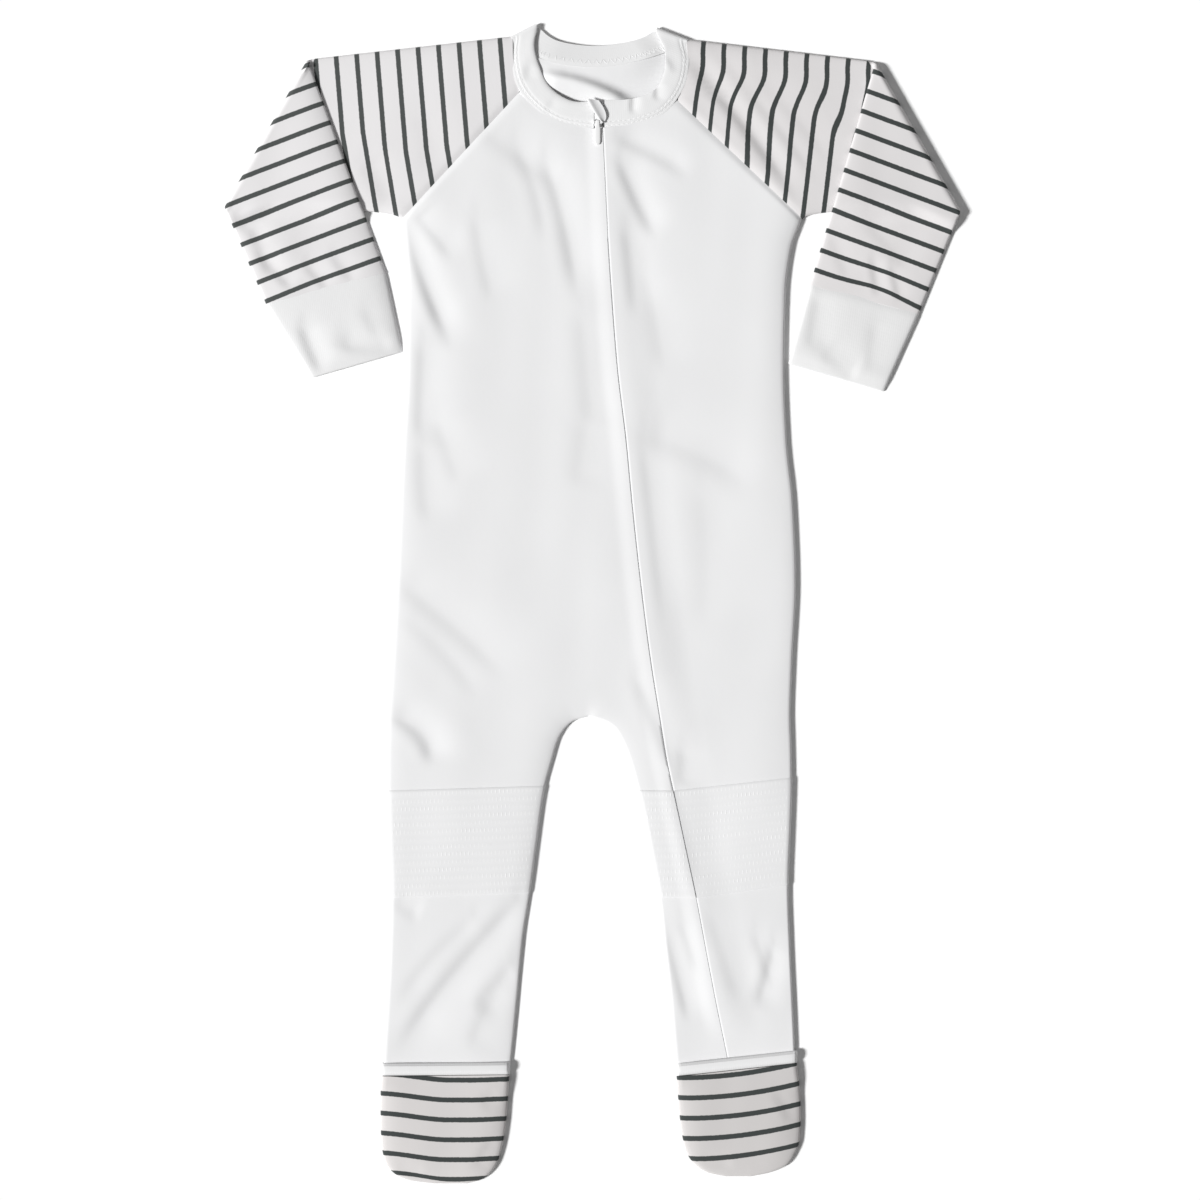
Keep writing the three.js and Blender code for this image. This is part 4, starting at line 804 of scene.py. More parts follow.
@dataclass
class Stitching:
    """Rows of sewing stitches, each a small rounded float of thread."""

    length: float = 2.0
    gap: float = 0.6
    width: float = 0.55
    rise: float = 0.3

    def along(self, line: np.ndarray) -> Shell:
        """Lays stitches one after another along a line.

        Args:
            line: Points of the line on the cloth's face.

        Returns:
            The stitches as one shell.
        """
        steps = np.linalg.norm(np.diff(line, axis=0), axis=1)
        travelled = np.concatenate([[0], np.cumsum(steps)])
        starts = np.arange(0, travelled[-1] - self.length, self.length + self.gap)

        def at(distance: np.ndarray) -> np.ndarray:
            """Points of the line at distances along it."""
            return np.column_stack([np.interp(distance, travelled, line[:, k]) for k in range(3)])

        return self.between(at(starts), at(starts + self.length))

    def between(self, starts: np.ndarray, ends: np.ndarray, shell: Shell | None = None) -> Shell:
        """Lays a stitch from each start to its end.

        Args:
            starts: First ends of the stitches.
            ends: Their other ends.
            shell: The shell that they join, if there is one.

        Returns:
            The shell with the stitches.
        """
        shell = shell or Shell()
        along = ends - starts
        side = unit(np.column_stack([-along[:, 1], along[:, 0], np.zeros(len(along))]))
        up = np.array([0.0, 0.0, 1.0])
        profile = ((0.0, 0.15), (0.14, 0.75), (0.5, 1.0), (0.86, 0.75), (1.0, 0.15))
        turns = np.linspace(0, 2 * math.pi, 7)[:-1]
        rings = []
        for share, size in profile:
            ring = [
                starts + along * share + side * (self.width / 2 * size * math.cos(turn))
                + up * (self.rise * size * math.sin(turn))
                for turn in turns
            ]
            rings.append(np.stack(ring, axis=1))
        numbers = shell.add(np.stack(rings, axis=1))
        for stitch in numbers:
            shell.grid(stitch[::-1], around=True)
            shell.quads.append(stitch[0][[[0, 1, 2, 3], [0, 3, 4, 5]]])
            shell.quads.append(stitch[-1][[[3, 2, 1, 0], [5, 4, 3, 0]]])
        return shell


def grid_rows(top: float, bottom: float, pitch: float = GRID) -> np.ndarray:
    """Heights of grid rows from one height down to another."""
    return np.linspace(top, bottom, steps_for(top - bottom, pitch) + 1)


class Neckline:
    """Curves of the neckband's seam and edge as it lies, and what meets them."""

    front_left = (
        ((0.7, 252.2), (0.7, 268.1)), ((-19.5, 256.9), (-11, 268.3)),
        ((-32.9, 266.4), (-22.7, 275.8)), ((-40.4, 276.4), (-28.1, 286.5)),
        ((-43.1, 289), (-30.8, 296.6)), ((-43.6, 303.1), (-30.2, 310)),
    )
    back = (
        ((-43.6, 303.1), (-30.2, 310)), ((-36.6, 295.1), (-23.8, 303.6)),
        ((-27.6, 290.2), (-17.4, 300.4)), ((0.8, 286), (0.8, 298)),
        ((24.9, 289.7), (19, 300.1)), ((40.4, 295.1), (28.1, 303.1)),
        ((51.1, 301.5), (34.5, 307.9)),
    )
    front_right = (
        ((51.1, 301.5), (34.5, 307.9)), ((51.6, 289.5), (38.6, 294.5)),
        ((48.6, 275.3), (38, 282.7)), ((37.7, 261), (32.4, 273.6)),
        ((21.7, 254.9), (20.7, 269.4)), ((6.4, 252.8), (6.4, 268.8)),
    )
    steps = 60
    tuck = 1.0

    def __init__(self) -> None:
        """Runs smooth curves through the sections, and lines tucked under the band's seam."""
        runs = (self.front_left, self.back, self.front_right)
        self.seams = [smooth_run([row[0] for row in run], self.steps) for run in runs]
        self.edges = [smooth_run([row[1] for row in run], self.steps) for run in runs]
        beside = [seam - unit(seam - edge) * self.tuck for seam, edge in zip(self.seams, self.edges)]
        left, _, right = beside
        self.left_seam, self.right_seam = left, right
        front = right[right[:, 0].argmax():]
        self.left_by_x = self._reader(left, 0, 1)
        self.right_by_x = self._reader(front, 0, 1)
        self.left_by_y = self._reader(left, 1, 0)
        self.right_by_y = self._reader(right, 1, 0)

    @staticmethod
    def _reader(line: np.ndarray, source: int, target: int) -> Reader:
        """Reads one coordinate of a line against the other."""
        order = np.argsort(line[:, source])
        return lambda value: np.interp(value, line[order, source], line[order, target])

    def raglan_top(self, cut: SleeveCut) -> np.ndarray:
        """Where a sleeve's front raglan seam meets the neckband."""
        by_x = self.left_by_x if cut.side == "left" else self.right_by_x
        return np.array([cut.raglan_x, float(by_x(cut.raglan_x))])

    def front_top(self, cut: SleeveCut, x: np.ndarray) -> np.ndarray:
        """Upper edge of a front: its raglan seam, then the neck seam."""
        low, high = np.array(cut.underarm), self.raglan_top(cut)
        raglan = mix(low[1], high[1], (x - low[0]) / (high[0] - low[0]))
        if cut.side == "left":
            return np.where(x <= high[0], raglan, self.left_by_x(x))
        return np.where(x >= high[0], raglan, self.right_by_x(x))

    def grooves(self) -> list[tuple[float, np.ndarray]]:
        """Seams that draw the cloth of the fronts and sleeves in, each with its depth."""
        raglans = [(RAGLAN_DRAW, np.array([cut.underarm, self.raglan_top(cut)])) for cut in SLEEVES]
        return [*raglans, (NECK_DRAW, self.seams[0][::4]), (NECK_DRAW, self.seams[2][::4])]


@dataclass
class Fronts:
    """Both fronts, each one wall from the neck to a foot, with the quilted knee patches."""

    neck: Neckline
    layer: FirstLayer
    parting: float = 0.7374
    left_steps: int = 52
    inner_steps: int = 20
    placket_rise: float = 0.75
    tape_rise: float = 0.8
    placket_width: float = 3.0
    placket_fade: float = 21.0
    underlap: float = 5.0
    underlap_drops: tuple[Pair, ...] = ((0.05, 0.3), (0.1, 0.75), (0.3, 1.35), (1.0, 1.4))
    seam_open: float = 0.55
    seam_open_low: float = 0.3
    left_tilt: float = 2.3
    right_tilt: float = 7.0
    patch_rise: float = 0.4
    quilt_rows: int = 14
    quilt_rise: float = 0.07
    arch_rows: tuple[float, ...] = (
        -60.62, -60.75, -61, -61.4, -61.9, -62.6, -63.5, -64.7, -66.2, -68, -70, -72.3, -74.8, -77.4,
    )

    def rows(self) -> dict[str, np.ndarray]:
        """Heights of the grid's rows in the torso and the legs."""
        split = CROTCH_Y + RIM_ROLL
        legs = np.concatenate([self.arch_rows, grid_rows(self.arch_rows[-1] - 2.2, LEG_END)])
        return {"torso": grid_rows(YOKE_Y, split), "legs": legs}

    def seen_edge(self, y: np.ndarray) -> tuple[np.ndarray, np.ndarray]:
        """Right edge of the left front that shows, and the edge of its underlap."""
        line = zip_line(y)
        opened = mix(self.seam_open, self.seam_open_low, ease(80, 125, -y))
        return line - opened, line + self.underlap

    def inseam_line(self, side: str, y: np.ndarray) -> np.ndarray:
        """Inner edge of a leg, drawn in by the cloth's roll, at heights y."""
        reader = left_inseam if side == "left" else right_inseam
        line = np.column_stack([reader(y), y])
        return line - plan_normals(line, right_hand=side == "right") * RIM_ROLL

    def leg_grid(self, side: str, y: np.ndarray, shares: np.ndarray) -> np.ndarray:
        """Plan points of a leg's part of the left front: shares across it in rows at heights y."""
        inner = self.inseam_line(side, y)
        if side == "left":
            outer = np.column_stack([left_edge(y) + RIM_ROLL, y])
            tilt = self.left_tilt * ease(60, 98, -y) * (1 - ease(160, 235, -y))
            grid = mix(outer[:, None], inner[:, None], shares[None, :, None])
            grid[..., 1] += tilt[:, None] * shares[None, :]
            return grid
        outer = np.column_stack([self.seen_edge(y)[0], y])
        return mix(inner[:, None], outer[:, None], shares[None, :, None])

    def raised(self, plan: np.ndarray, lift=0.0) -> np.ndarray:
        """Points of the cloth's upper face over a grid of plan points."""
        flat = plan.reshape(-1, 2)
        top = self.layer.top(flat) + np.broadcast_to(lift, plan.shape[:-1]).ravel()
        return lifted(flat, top).reshape(*plan.shape[:-1], 3)

    def over_tape(self, plan: np.ndarray) -> np.ndarray:
        """Upper face of the left front: the cloth, which rises to the tape beside the zip."""
        x, y = plan[..., 0], plan[..., 1]
        near = (1 - ease(0.5, 10, np.abs(zip_at(y) - x))) * (1 - ease(216, 236, -y))
        return self.raised(plan, self.tape_rise * near)

    def placket_top(self, plan: np.ndarray) -> np.ndarray:
        """Upper face of the right front: the cloth, raised over the zip."""
        x, y = plan[..., 0], plan[..., 1]
        raised = 1 - ease(self.placket_width, self.placket_fade, x - zip_at(y))
        ended = 1 - ease(216, 236, -y)
        return self.raised(plan, self.placket_rise * raised * ended)

    def build_left(self) -> bpy.types.Object:
        """Builds the left front, whose legs part at the crotch."""
        cut, rows, shell = LEFT_SLEEVE, self.rows(), Shell()
        left_shares = np.linspace(0, self.parting, self.left_steps + 1)
        inner_shares = np.linspace(self.parting, 1, self.inner_steps + 1)
        shares = np.concatenate([left_shares, inner_shares[1:]])
        down = np.linspace(0, 1, 27)
        low = np.column_stack([mix(left_edge(YOKE_Y) + RIM_ROLL, zip_line(YOKE_Y) - SEAM_GAP, shares),
                               np.full(len(shares), YOKE_Y)])
        high_x = mix(cut.underarm[0] + RIM_ROLL, ZIP_TOP[0] - SEAM_GAP, shares)
        high = np.column_stack([high_x, self.neck.front_top(cut, high_x)])
        yoke = mix(high[None], low[None], down[:, None, None])
        y = rows["torso"][1:]
        across = mix((left_edge(y) + RIM_ROLL)[:, None], self.seen_edge(y)[0][:, None], shares)
        torso = np.stack([across, np.broadcast_to(y[:, None], across.shape)], axis=-1)
        body = shell.add(self.over_tape(np.concatenate([yoke, torso])))
        shell.grid(body)
        legs = rows["legs"]
        left = shell.add(self.raised(self.leg_grid("left", legs, left_shares / self.parting)))
        inner_across = (inner_shares - self.parting) / (1 - self.parting)
        inner = shell.add(self.over_tape(self.leg_grid("right", legs, inner_across)))
        left = np.vstack([body[-1, :self.left_steps + 1], left])
        inner = np.vstack([body[-1, self.left_steps:], inner])
        shell.grid(left)
        shell.grid(inner)
        self.add_underlap(shell, np.concatenate([body[:, -1], inner[1:, -1]]))
        outside = np.concatenate([body[:, 0], left[1:, 0]])
        shell.roll(outside, np.tile([-1.0, 0.0], (len(outside), 1)), RIM_ROLL, RIM_MIDDLE, 0.1)
        arch = np.concatenate([left[:0:-1, -1], inner[:, 0]])
        points = np.vstack(shell.points)[arch]
        shell.roll(arch, plan_normals(points), RIM_ROLL, RIM_MIDDLE, 0.1)
        shell.thicken(JERSEY)
        piece = shell.build("front_left", WHITE_KNIT)
        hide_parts("front_left")
        return piece

    def add_underlap(self, shell: Shell, edge: np.ndarray) -> None:
        """Carries the left front on under the placket, dipping below its edge."""
        at = np.vstack(shell.points)[edge]
        rows = [edge]
        for share, drop in self.underlap_drops:
            rows.append(shell.add(at + [self.underlap * share, 0, -drop]))
        shell.grid(np.stack(rows, axis=1))

    def build_right(self) -> bpy.types.Object:
        """Builds the right front, whose folded edge covers the zip."""
        cut, shell = RIGHT_SLEEVE, Shell()
        offsets = np.array([0.3, 1.2, 2.4, 4.2, 6, 7.8, 9.6, 11.4, 13.2, 15, 16.9, 18.8])
        shares = np.linspace(0, 1, 44)

        def across(zip_x: np.ndarray, edge_x: np.ndarray) -> np.ndarray:
            """Places across the front from the zip line to its right edge."""
            zip_x, edge_x = np.atleast_1d(zip_x)[:, None], np.atleast_1d(edge_x)[:, None]
            near = zip_x + offsets
            return np.hstack([near, mix(zip_x + self.placket_fade, edge_x - RIM_ROLL, shares)])

        low_x = across(zip_line(YOKE_Y), right_edge(YOKE_Y))[0]
        high_x = across(ZIP_TOP[0], cut.underarm[0])[0]
        high = np.column_stack([high_x, self.neck.front_top(cut, high_x)])
        low = np.column_stack([low_x, np.full(len(low_x), YOKE_Y)])
        yoke = mix(high[None], low[None], np.linspace(0, 1, 27)[:, None, None])
        y = grid_rows(YOKE_Y, LEG_END)[1:]
        body = self.right_rows(y, across(zip_line(y), right_edge(y)))
        numbers = shell.add(self.placket_top(np.concatenate([yoke, body])))
        shell.grid(numbers)
        left = numbers[:, 0]
        edge_height = np.vstack(shell.points)[left][:, 2]
        west, east = np.tile([-1.0, 0.0], (len(left), 1)), np.tile([1.0, 0.0], (len(left), 1))
        shell.roll(left, west, 0.3, edge_height - 0.5, edge_height - 1.0)
        shell.roll(numbers[:, -1], east, RIM_ROLL, RIM_MIDDLE, 0.1)
        shell.thicken(JERSEY)
        piece = shell.build("front_right", WHITE_KNIT)
        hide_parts("front_right")
        return piece

    def right_rows(self, y: np.ndarray, x: np.ndarray) -> np.ndarray:
        """Rows of the right front below the yoke, tilted towards the knee as they lie."""
        tilt = (self.right_tilt * ease(40, 95, -y))[:, None]
        zip_x = zip_line(y)[:, None]
        drop = tilt * (x - zip_x) / (right_edge(y)[:, None] - zip_x)
        return np.stack([x, y[:, None] + drop], axis=-1)

    def quilt(self, count: int) -> np.ndarray:
        """Rise of the quilted rows at equal steps down a patch, flat at its two seams."""
        down = np.linspace(0, 1, count)
        ridges = np.sin(down * self.quilt_rows * math.pi) ** 2
        sewn = ease(0, 0.012, down) * ease(0, 0.012, 1 - down)
        return (self.patch_rise + self.quilt_rise * ridges) * sewn + 0.12

    def build_patch(self, name: str, plan: np.ndarray, rolls: dict[int, float], top) -> bpy.types.Object:
        """Builds a knee patch over a part of a front.

        Args:
            name: The node that it stands for.
            plan: Its grid of plan points.
            rolls: The columns whose edges roll down, with the direction of each.
            top: What raises plan points to the cloth's upper face.

        Returns:
            The patch.
        """
        shell = Shell()
        points = top(plan)
        points[..., 2] += self.quilt(len(plan))[:, None]
        numbers = shell.add(points)
        shell.grid(numbers)
        for column, side in rolls.items():
            out = np.tile([side, 0.0], (len(plan), 1))
            shell.roll(numbers[:, column], out, RIM_ROLL + 0.3, RIM_MIDDLE, 0.05)
        shell.thicken(0.5)
        piece = shell.build(name, WHITE_KNIT, sharp=70)
        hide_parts(name)
        return piece

    def build_patches(self) -> None:
        """Builds the three knee patches and the dashes of thread on them."""
        y = np.linspace(KNEE_TOP, KNEE_BOTTOM, self.quilt_rows * 6 + 1)
        shares = np.linspace(0, 1, 40)
        left = self.leg_grid("left", y, shares)
        inner = self.leg_grid("right", y, np.linspace(0, 1, 13))
        columns = np.array([0.3, 1.2, 3.4, 5.6, 8, 10.5, 13, 15.5, 18])
        fade = mix(zip_line(y)[:, None] + self.placket_fade, right_edge(y)[:, None] - RIM_ROLL,
                   np.linspace(0, 1, 24))
        x = np.hstack([zip_line(y)[:, None] + columns, fade])
        outer = self.right_rows(y, x)
        patches = (
            ("knee_left", left, {0: -1.0, -1: 1.0}, self.raised, (0.075, 0.058)),
            ("knee_right_inner", inner, {0: -1.0}, self.over_tape, (0.024, 0.058)),
            ("knee_right_outer", outer, {-1: 1.0}, self.placket_top, (0.062, 0.058)),
        )
        for name, plan, rolls, top, flat in patches:
            piece = self.build_patch(name, plan, rolls, top)
            self.build_dashes(name, plan, top)

    def build_dashes(self, name: str, plan: np.ndarray, top, pitch: float = 2.1) -> None:
        """Lays short upright dashes of thread in each quilted row, some sunk into the cloth."""
        stitch = Stitching(length=2.4, width=0.55, rise=0.12)
        shell = Shell()
        for row in range(self.quilt_rows):
            line = plan[row * 6 + 3]
            width = abs(line[-1, 0] - line[0, 0])
            count = int(width / pitch)
            x = np.linspace(line[0, 0], line[-1, 0], count + 2)[1:-1] + pitch / 4 * (-1) ** row
            middle = np.column_stack([x, np.interp(x, line[:, 0], line[:, 1])])
            height = top(middle)[:, 2] + self.patch_rise + self.quilt_rise + 0.12
            sunk = 0.5 + 0.5 * np.sin(x / 9.7 + 2.3 * row) * np.sin(x / 23 - 1.7 * row)
            centre = lifted(middle, height - 0.02 - 0.09 * sunk)
            half = np.array([0.0, stitch.length / 2, 0.0])
            stitch.between(centre + half, centre - half, shell)
        shell.build(f"{name}_dashes", THREAD)


@dataclass
class Back:
    """Back of the body and legs, flat on the surface, with a soft fold below the neckband."""

    neck: Neckline
    inset: float = 2.3
    end: float = -246.0
    split: int = 59
    seam_rise: float = 3.3

    def opening_relief(self, plan: np.ndarray) -> np.ndarray:
        """Height of the back's folds where the neck opening shows them."""
        fold = Crease((-28, 281), (2, 279), (26, 262), -4.6, 4.0, 0.0)
        seam = self.neck.seams[1]
        distance, share, _ = nearest(plan, seam[::3])
        raised = np.exp(-((distance / 9) ** 2)) * ease(0.04, 0.3, share) * ease(0.06, 0.38, 1 - share)
        return self.seam_rise * raised - np.maximum(fold.relief(plan), -5.0)

    def build(self) -> bpy.types.Object:
        """Builds the back as one wall whose legs part at the crotch."""
        shell = Shell()
        shares = np.linspace(0, 1, 121)
        seam = self.neck.seams[1]
        corner_left, corner_right = seam[0] + [-0.9, -0.9], seam[-1] + [0.9, -0.9]
        order = np.argsort(seam[:, 0])
        low, high = LEFT_SLEEVE.underarm, RIGHT_SLEEVE.underarm

        def top_edge(x: np.ndarray) -> np.ndarray:
            """Upper edge of the back: armholes and the neck's seam."""
            left = mix(low[1], corner_left[1], (x - low[0]) / (corner_left[0] - low[0]))
            right = mix(high[1], corner_right[1], (x - high[0]) / (corner_right[0] - high[0]))
            middle = np.minimum(np.interp(x, seam[order, 0], seam[order, 1]), corner_left[1]) + 0.6
            return np.where(x < corner_left[0], left, np.where(x > corner_right[0], right, middle))

        low_x = mix(left_edge(YOKE_Y) + self.inset, right_edge(YOKE_Y) - self.inset, shares)
        high_x = mix(low[0] + self.inset, high[0] - self.inset, shares)
        ends = np.column_stack([low_x, np.full(len(shares), YOKE_Y)])
        tops = np.column_stack([high_x, top_edge(high_x)])
        yoke = mix(tops[None], ends[None], np.linspace(0, 1, 60)[:, None, None])
        y = grid_rows(YOKE_Y, CROTCH_Y + self.inset, 6)[1:]
        across = mix((left_edge(y) + self.inset)[:, None], (right_edge(y) - self.inset)[:, None], shares)
        torso = np.stack([across, np.broadcast_to(y[:, None], across.shape)], axis=-1)
        numbers = shell.add(self.raised(np.concatenate([yoke, torso])))
        shell.grid(numbers)
        y = np.concatenate([[-60.7, -61.4, -62.6, -65, -69, -74], grid_rows(-80, self.end, 6)])
        for side, part in (("left", slice(0, self.split + 1)), ("right", slice(self.split, None))):
            inner = np.column_stack([(left_inseam if side == "left" else right_inseam)(y), y])
            inner -= plan_normals(inner, right_hand=side == "right") * self.inset
            outer_x = left_edge(y) + self.inset if side == "left" else right_edge(y) - self.inset
            outer = np.column_stack([outer_x, y])
            first, last = (outer, inner) if side == "left" else (inner, outer)
            count = self.split if side == "left" else len(shares) - 1 - self.split
            leg = mix(first[:, None], last[:, None], np.linspace(0, 1, count + 1)[None, :, None])
            leg_numbers = shell.add(self.raised(leg))
            shell.grid(np.vstack([numbers[-1, part], leg_numbers]))
        shell.thicken(JERSEY)
        piece = shell.build("back", WHITE_KNIT)
        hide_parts("back")
        return piece

    def raised(self, plan: np.ndarray) -> np.ndarray:
        """Points of the back's upper face over plan points."""
        flat = plan.reshape(-1, 2)
        return lifted(flat, JERSEY + 0.05 + self.opening_relief(flat)).reshape(*plan.shape[:-1], 3)


@dataclass
class Sleeve:
    """One raglan sleeve: a flattened tube, creased at the elbow and laid back over itself."""

    cut: SleeveCut
    neck: Neckline
    layer: FirstLayer
    raglan_share: float = 0.72
    wall: float = 0.9
    fore_gap: float = 0.3
    fore_crown: float = 3.3
    fore_rim: float = 2.6
    drop_start: float = -4.0
    drop_end: float = 7.0
    corner_hold: float = 9.0
    edge_round: float = 1.7
    cuff_tuck: float = 1.008
    seam_width: float = 103.0
    elbow_width: float = 93.0
    crease_width: float = 92.0
    wrist_width: float = 66.0
    upper_length: float = 110.0
    fore_length: float = 125.0
    ring_pitch: float = 2.3

    def __post_init__(self) -> None:
        """Finds the ends of the crease's axis on the arm's and the forearm's edges."""
        cut = self.cut
        _, self.inward = cut.frame()
        top, end = np.array(cut.crease_top, float), np.array(cut.crease_end, float)
        under = cut.underside(np.array([0.8]))[0]
        self.upper_axis = [self._axis(end, under), self._axis(top, np.array(cut.neck))]
        self.fore_axis = [self._axis(end, np.array(cut.wrist_out)), self._axis(top, np.array(cut.wrist_in))]

    def _axis(self, corner: np.ndarray, towards: np.ndarray) -> np.ndarray:
        """Where an edge that leaves a corner is as deep inward as the crease's axis."""
        direction = unit(towards - corner)
        return corner + direction * CREASE_AXIS / (direction @ self.inward)

    def front_seam(self, across: np.ndarray) -> np.ndarray:
        """Points on the seam of the sleeve's front: up the raglan, then along the neckband."""
        cut = self.cut
        top = self.neck.raglan_top(cut)
        raglan = mix(np.array(cut.underarm), top, (across / self.raglan_share)[:, None])
        y = mix(top[1], cut.neck[1], (across - self.raglan_share) / (1 - self.raglan_share))
        by_y = self.neck.left_by_y if cut.side == "left" else self.neck.right_by_y
        return np.where((across <= self.raglan_share)[:, None], raglan, np.column_stack([by_y(y), y]))

    def back_seam(self, across: np.ndarray) -> np.ndarray:
        """Points on the seam of the sleeve's back."""
        return mix(np.array(self.cut.underarm), np.array(self.cut.neck), across[:, None])

    def upper_plan(self, seam: np.ndarray, across: np.ndarray, share: float) -> np.ndarray:
        """Plan points from a seam towards the crease's axis."""
        end = mix(self.upper_axis[0], self.upper_axis[1], across[:, None])
        start = seam + unit(end - seam) * HAIRLINE
        points = mix(start, end, share)
        points[:, 1] += UNDERARM_RISE * math.sin(math.pi * math.sqrt(share)) * (1 - across) ** 2
        return points

    def upper_section(self, share: float) -> Callable:
        """Section of the upper arm at a share of the way to the crease."""
        def place(across: np.ndarray, depth: np.ndarray) -> np.ndarray:
            """Points at shares across and depths of the section's height, 0 at the surface."""
            front = self.upper_plan(self.front_seam(across), across, share)
            back = self.upper_plan(self.back_seam(across), across, share)
            height = self.layer.top(front)
            between = np.clip(depth, 0, 1)[:, None]
            return lifted(mix(back, front, ease(0.25, 0.75, between)), depth * height)
        return place

    def fore_height(self, points: np.ndarray) -> np.ndarray:
        """Thickness of the flattened forearm: full along its middle, thin at its edges."""
        inner = np.array([self.fore_axis[1], self.cut.wrist_in])
        outer = np.array([self.fore_axis[0], self.cut.wrist_out])
        near = nearest(points, inner)[0]
        distance = np.minimum(near, nearest(points, outer)[0])
        crown = mix(CREASE_CROWN, self.fore_crown, ease(5, 40, self.cut.depth(points)))
        height = self.fore_rim + (crown - self.fore_rim) * (1 - np.exp(-distance / RIM_REACH))
        return height - self.cut.pressed * np.exp(-near / 4)

    def fore_base(self, points: np.ndarray) -> np.ndarray:
        """Height that the forearm lies at: on the upper arm, then down on the surface."""
        line = self.cut.underside(np.linspace(0, 1, 24))
        order = np.argsort(line[:, 0])
        below = np.interp(points[:, 0], line[order, 0], line[order, 1]) - points[:, 1]
        depth = np.maximum(0, self.cut.depth(points))
        on_arm = mix(CREASE_CROWN, CROWN_TOP, ease(0, CREASE_SETTLE, depth)) + self.fore_gap
        below = below - self.corner_hold * (1 - ease(3, 24, depth))
        return on_arm * (1 - ease(self.drop_start, self.drop_end, below))

    def roll_section(self, angle: float) -> Callable:
        """Section in the roll of the crease, turned by an angle about its axis."""
        turned = angle / math.pi
        ends = [mix(self.upper_axis[k], self.fore_axis[k], turned) for k in (0, 1)]

        def place(across: np.ndarray, depth: np.ndarray) -> np.ndarray:
            """Points at shares across and depths of the section."""
            axis = mix(ends[0], ends[1], across[:, None])
            first = self.layer.top(mix(self.upper_axis[0], self.upper_axis[1], across[:, None]))
            height = mix(first, self.fore_height(axis), turned)
            radius = CREASE_AXIS - depth * height
            plan = axis - self.inward * (radius * math.sin(angle))[:, None]
            return lifted(plan, CREASE_AXIS - radius * math.cos(angle))
        return place

    def fore_section(self, share: float) -> Callable:
        """Section of the forearm at a share of the way from the crease to the wrist."""
        out_edge = mix(self.fore_axis[0], np.array(self.cut.wrist_out), share * self.cuff_tuck)
        in_edge = mix(self.fore_axis[1], np.array(self.cut.wrist_in), share * self.cuff_tuck)

        def place(across: np.ndarray, depth: np.ndarray) -> np.ndarray:
            """Points at shares across and depths of the section, 0 at its upper face."""
            plan = mix(out_edge, in_edge, across[:, None])
            height = self.fore_height(plan)
            edge = np.minimum(across, 1 - across) * np.linalg.norm(out_edge - in_edge)
            face = (1 - np.clip(depth, 0, 1)) * (1 - np.exp(-edge / 3))
            relief = sum(crease.relief(plan) for crease in FOREARM_CREASES)
            waves = FirstLayer.undulation(plan * 1.3)
            return lifted(plan, self.fore_base(plan) + (1 - depth) * height + face * (waves - relief))
        return place

    def ring(self, place: Callable, width: float) -> np.ndarray:
        """Points all round a section: over the far side, round an edge and back."""
        reach = self.edge_round / width
        near = 1 - np.cos(np.linspace(0, math.pi / 2, 5))
        inner = np.linspace(reach, 1 - reach, 38)
        shares = np.concatenate([near[:-1] * reach, inner, 1 - near[-2::-1] * reach])
        distance = np.minimum(shares, 1 - shares) / reach
        round_off = 0.5 * (1 - np.sqrt(1 - (1 - np.clip(distance, 0, 1)) ** 2))
        low = place(shares, round_off)
        high = place(shares[::-1], 1 - round_off[::-1])
        return np.vstack([low, high[1:-1]])

    def stripe_count(self, plan: np.ndarray) -> dict[str, np.ndarray]:
        """Stripe counts at plan points, as laid on the upper arm and on the forearm."""
        cut = self.cut
        top, down = np.array(cut.crease_top), cut.frame()[0]
        sign = 1.0 if cut.side == "left" else -1.0
        lean = math.radians(cut.fore_lean)
        fore_way = np.array([sign * math.sin(lean), -math.cos(lean)])

        def count_fore(points: np.ndarray) -> np.ndarray:
            """Stripe counts of the forearm, with the waves that the cuff's seam puts in."""
            wave = self.seam_wave(points)
            return ((points - top) @ fore_way - cut.fore_phase + wave) / cut.fore_pitch

        upper_way = unit(np.subtract(cut.neck, top))
        along = (plan - top) @ upper_way
        below = np.abs((plan - top) @ np.array([-upper_way[1], upper_way[0]]))
        upper = (along - cut.upper_phase + self.pull(along, below)) / cut.upper_pitch
        mirrored = count_fore(plan - 2 * np.outer(cut.depth(plan), self.inward))
        edge = np.array(cut.wrist_in) - top
        slope = (edge @ self.inward) / (edge @ down)
        hidden = 1 - ease(0, 1, cut.depth(plan) / np.maximum((plan - top) @ down * slope, 2.5))
        return {"upper": mix(upper, mirrored, hidden), "under": mirrored, "fore": count_fore(plan)}

    def seam_wave(self, points: np.ndarray) -> np.ndarray:
        """How far the forearm's stripes near the cuff are drawn towards the elbow."""
        cut = self.cut
        distance, across, _ = nearest(points, np.array([cut.wrist_in, cut.wrist_out], float))
        middle, size = (0.55, 0.7) if cut.side == "left" else (0.6, 3.0)
        return size * np.exp(-(((across - middle) / 0.28) ** 2)) * np.exp(-((distance / 15) ** 2))

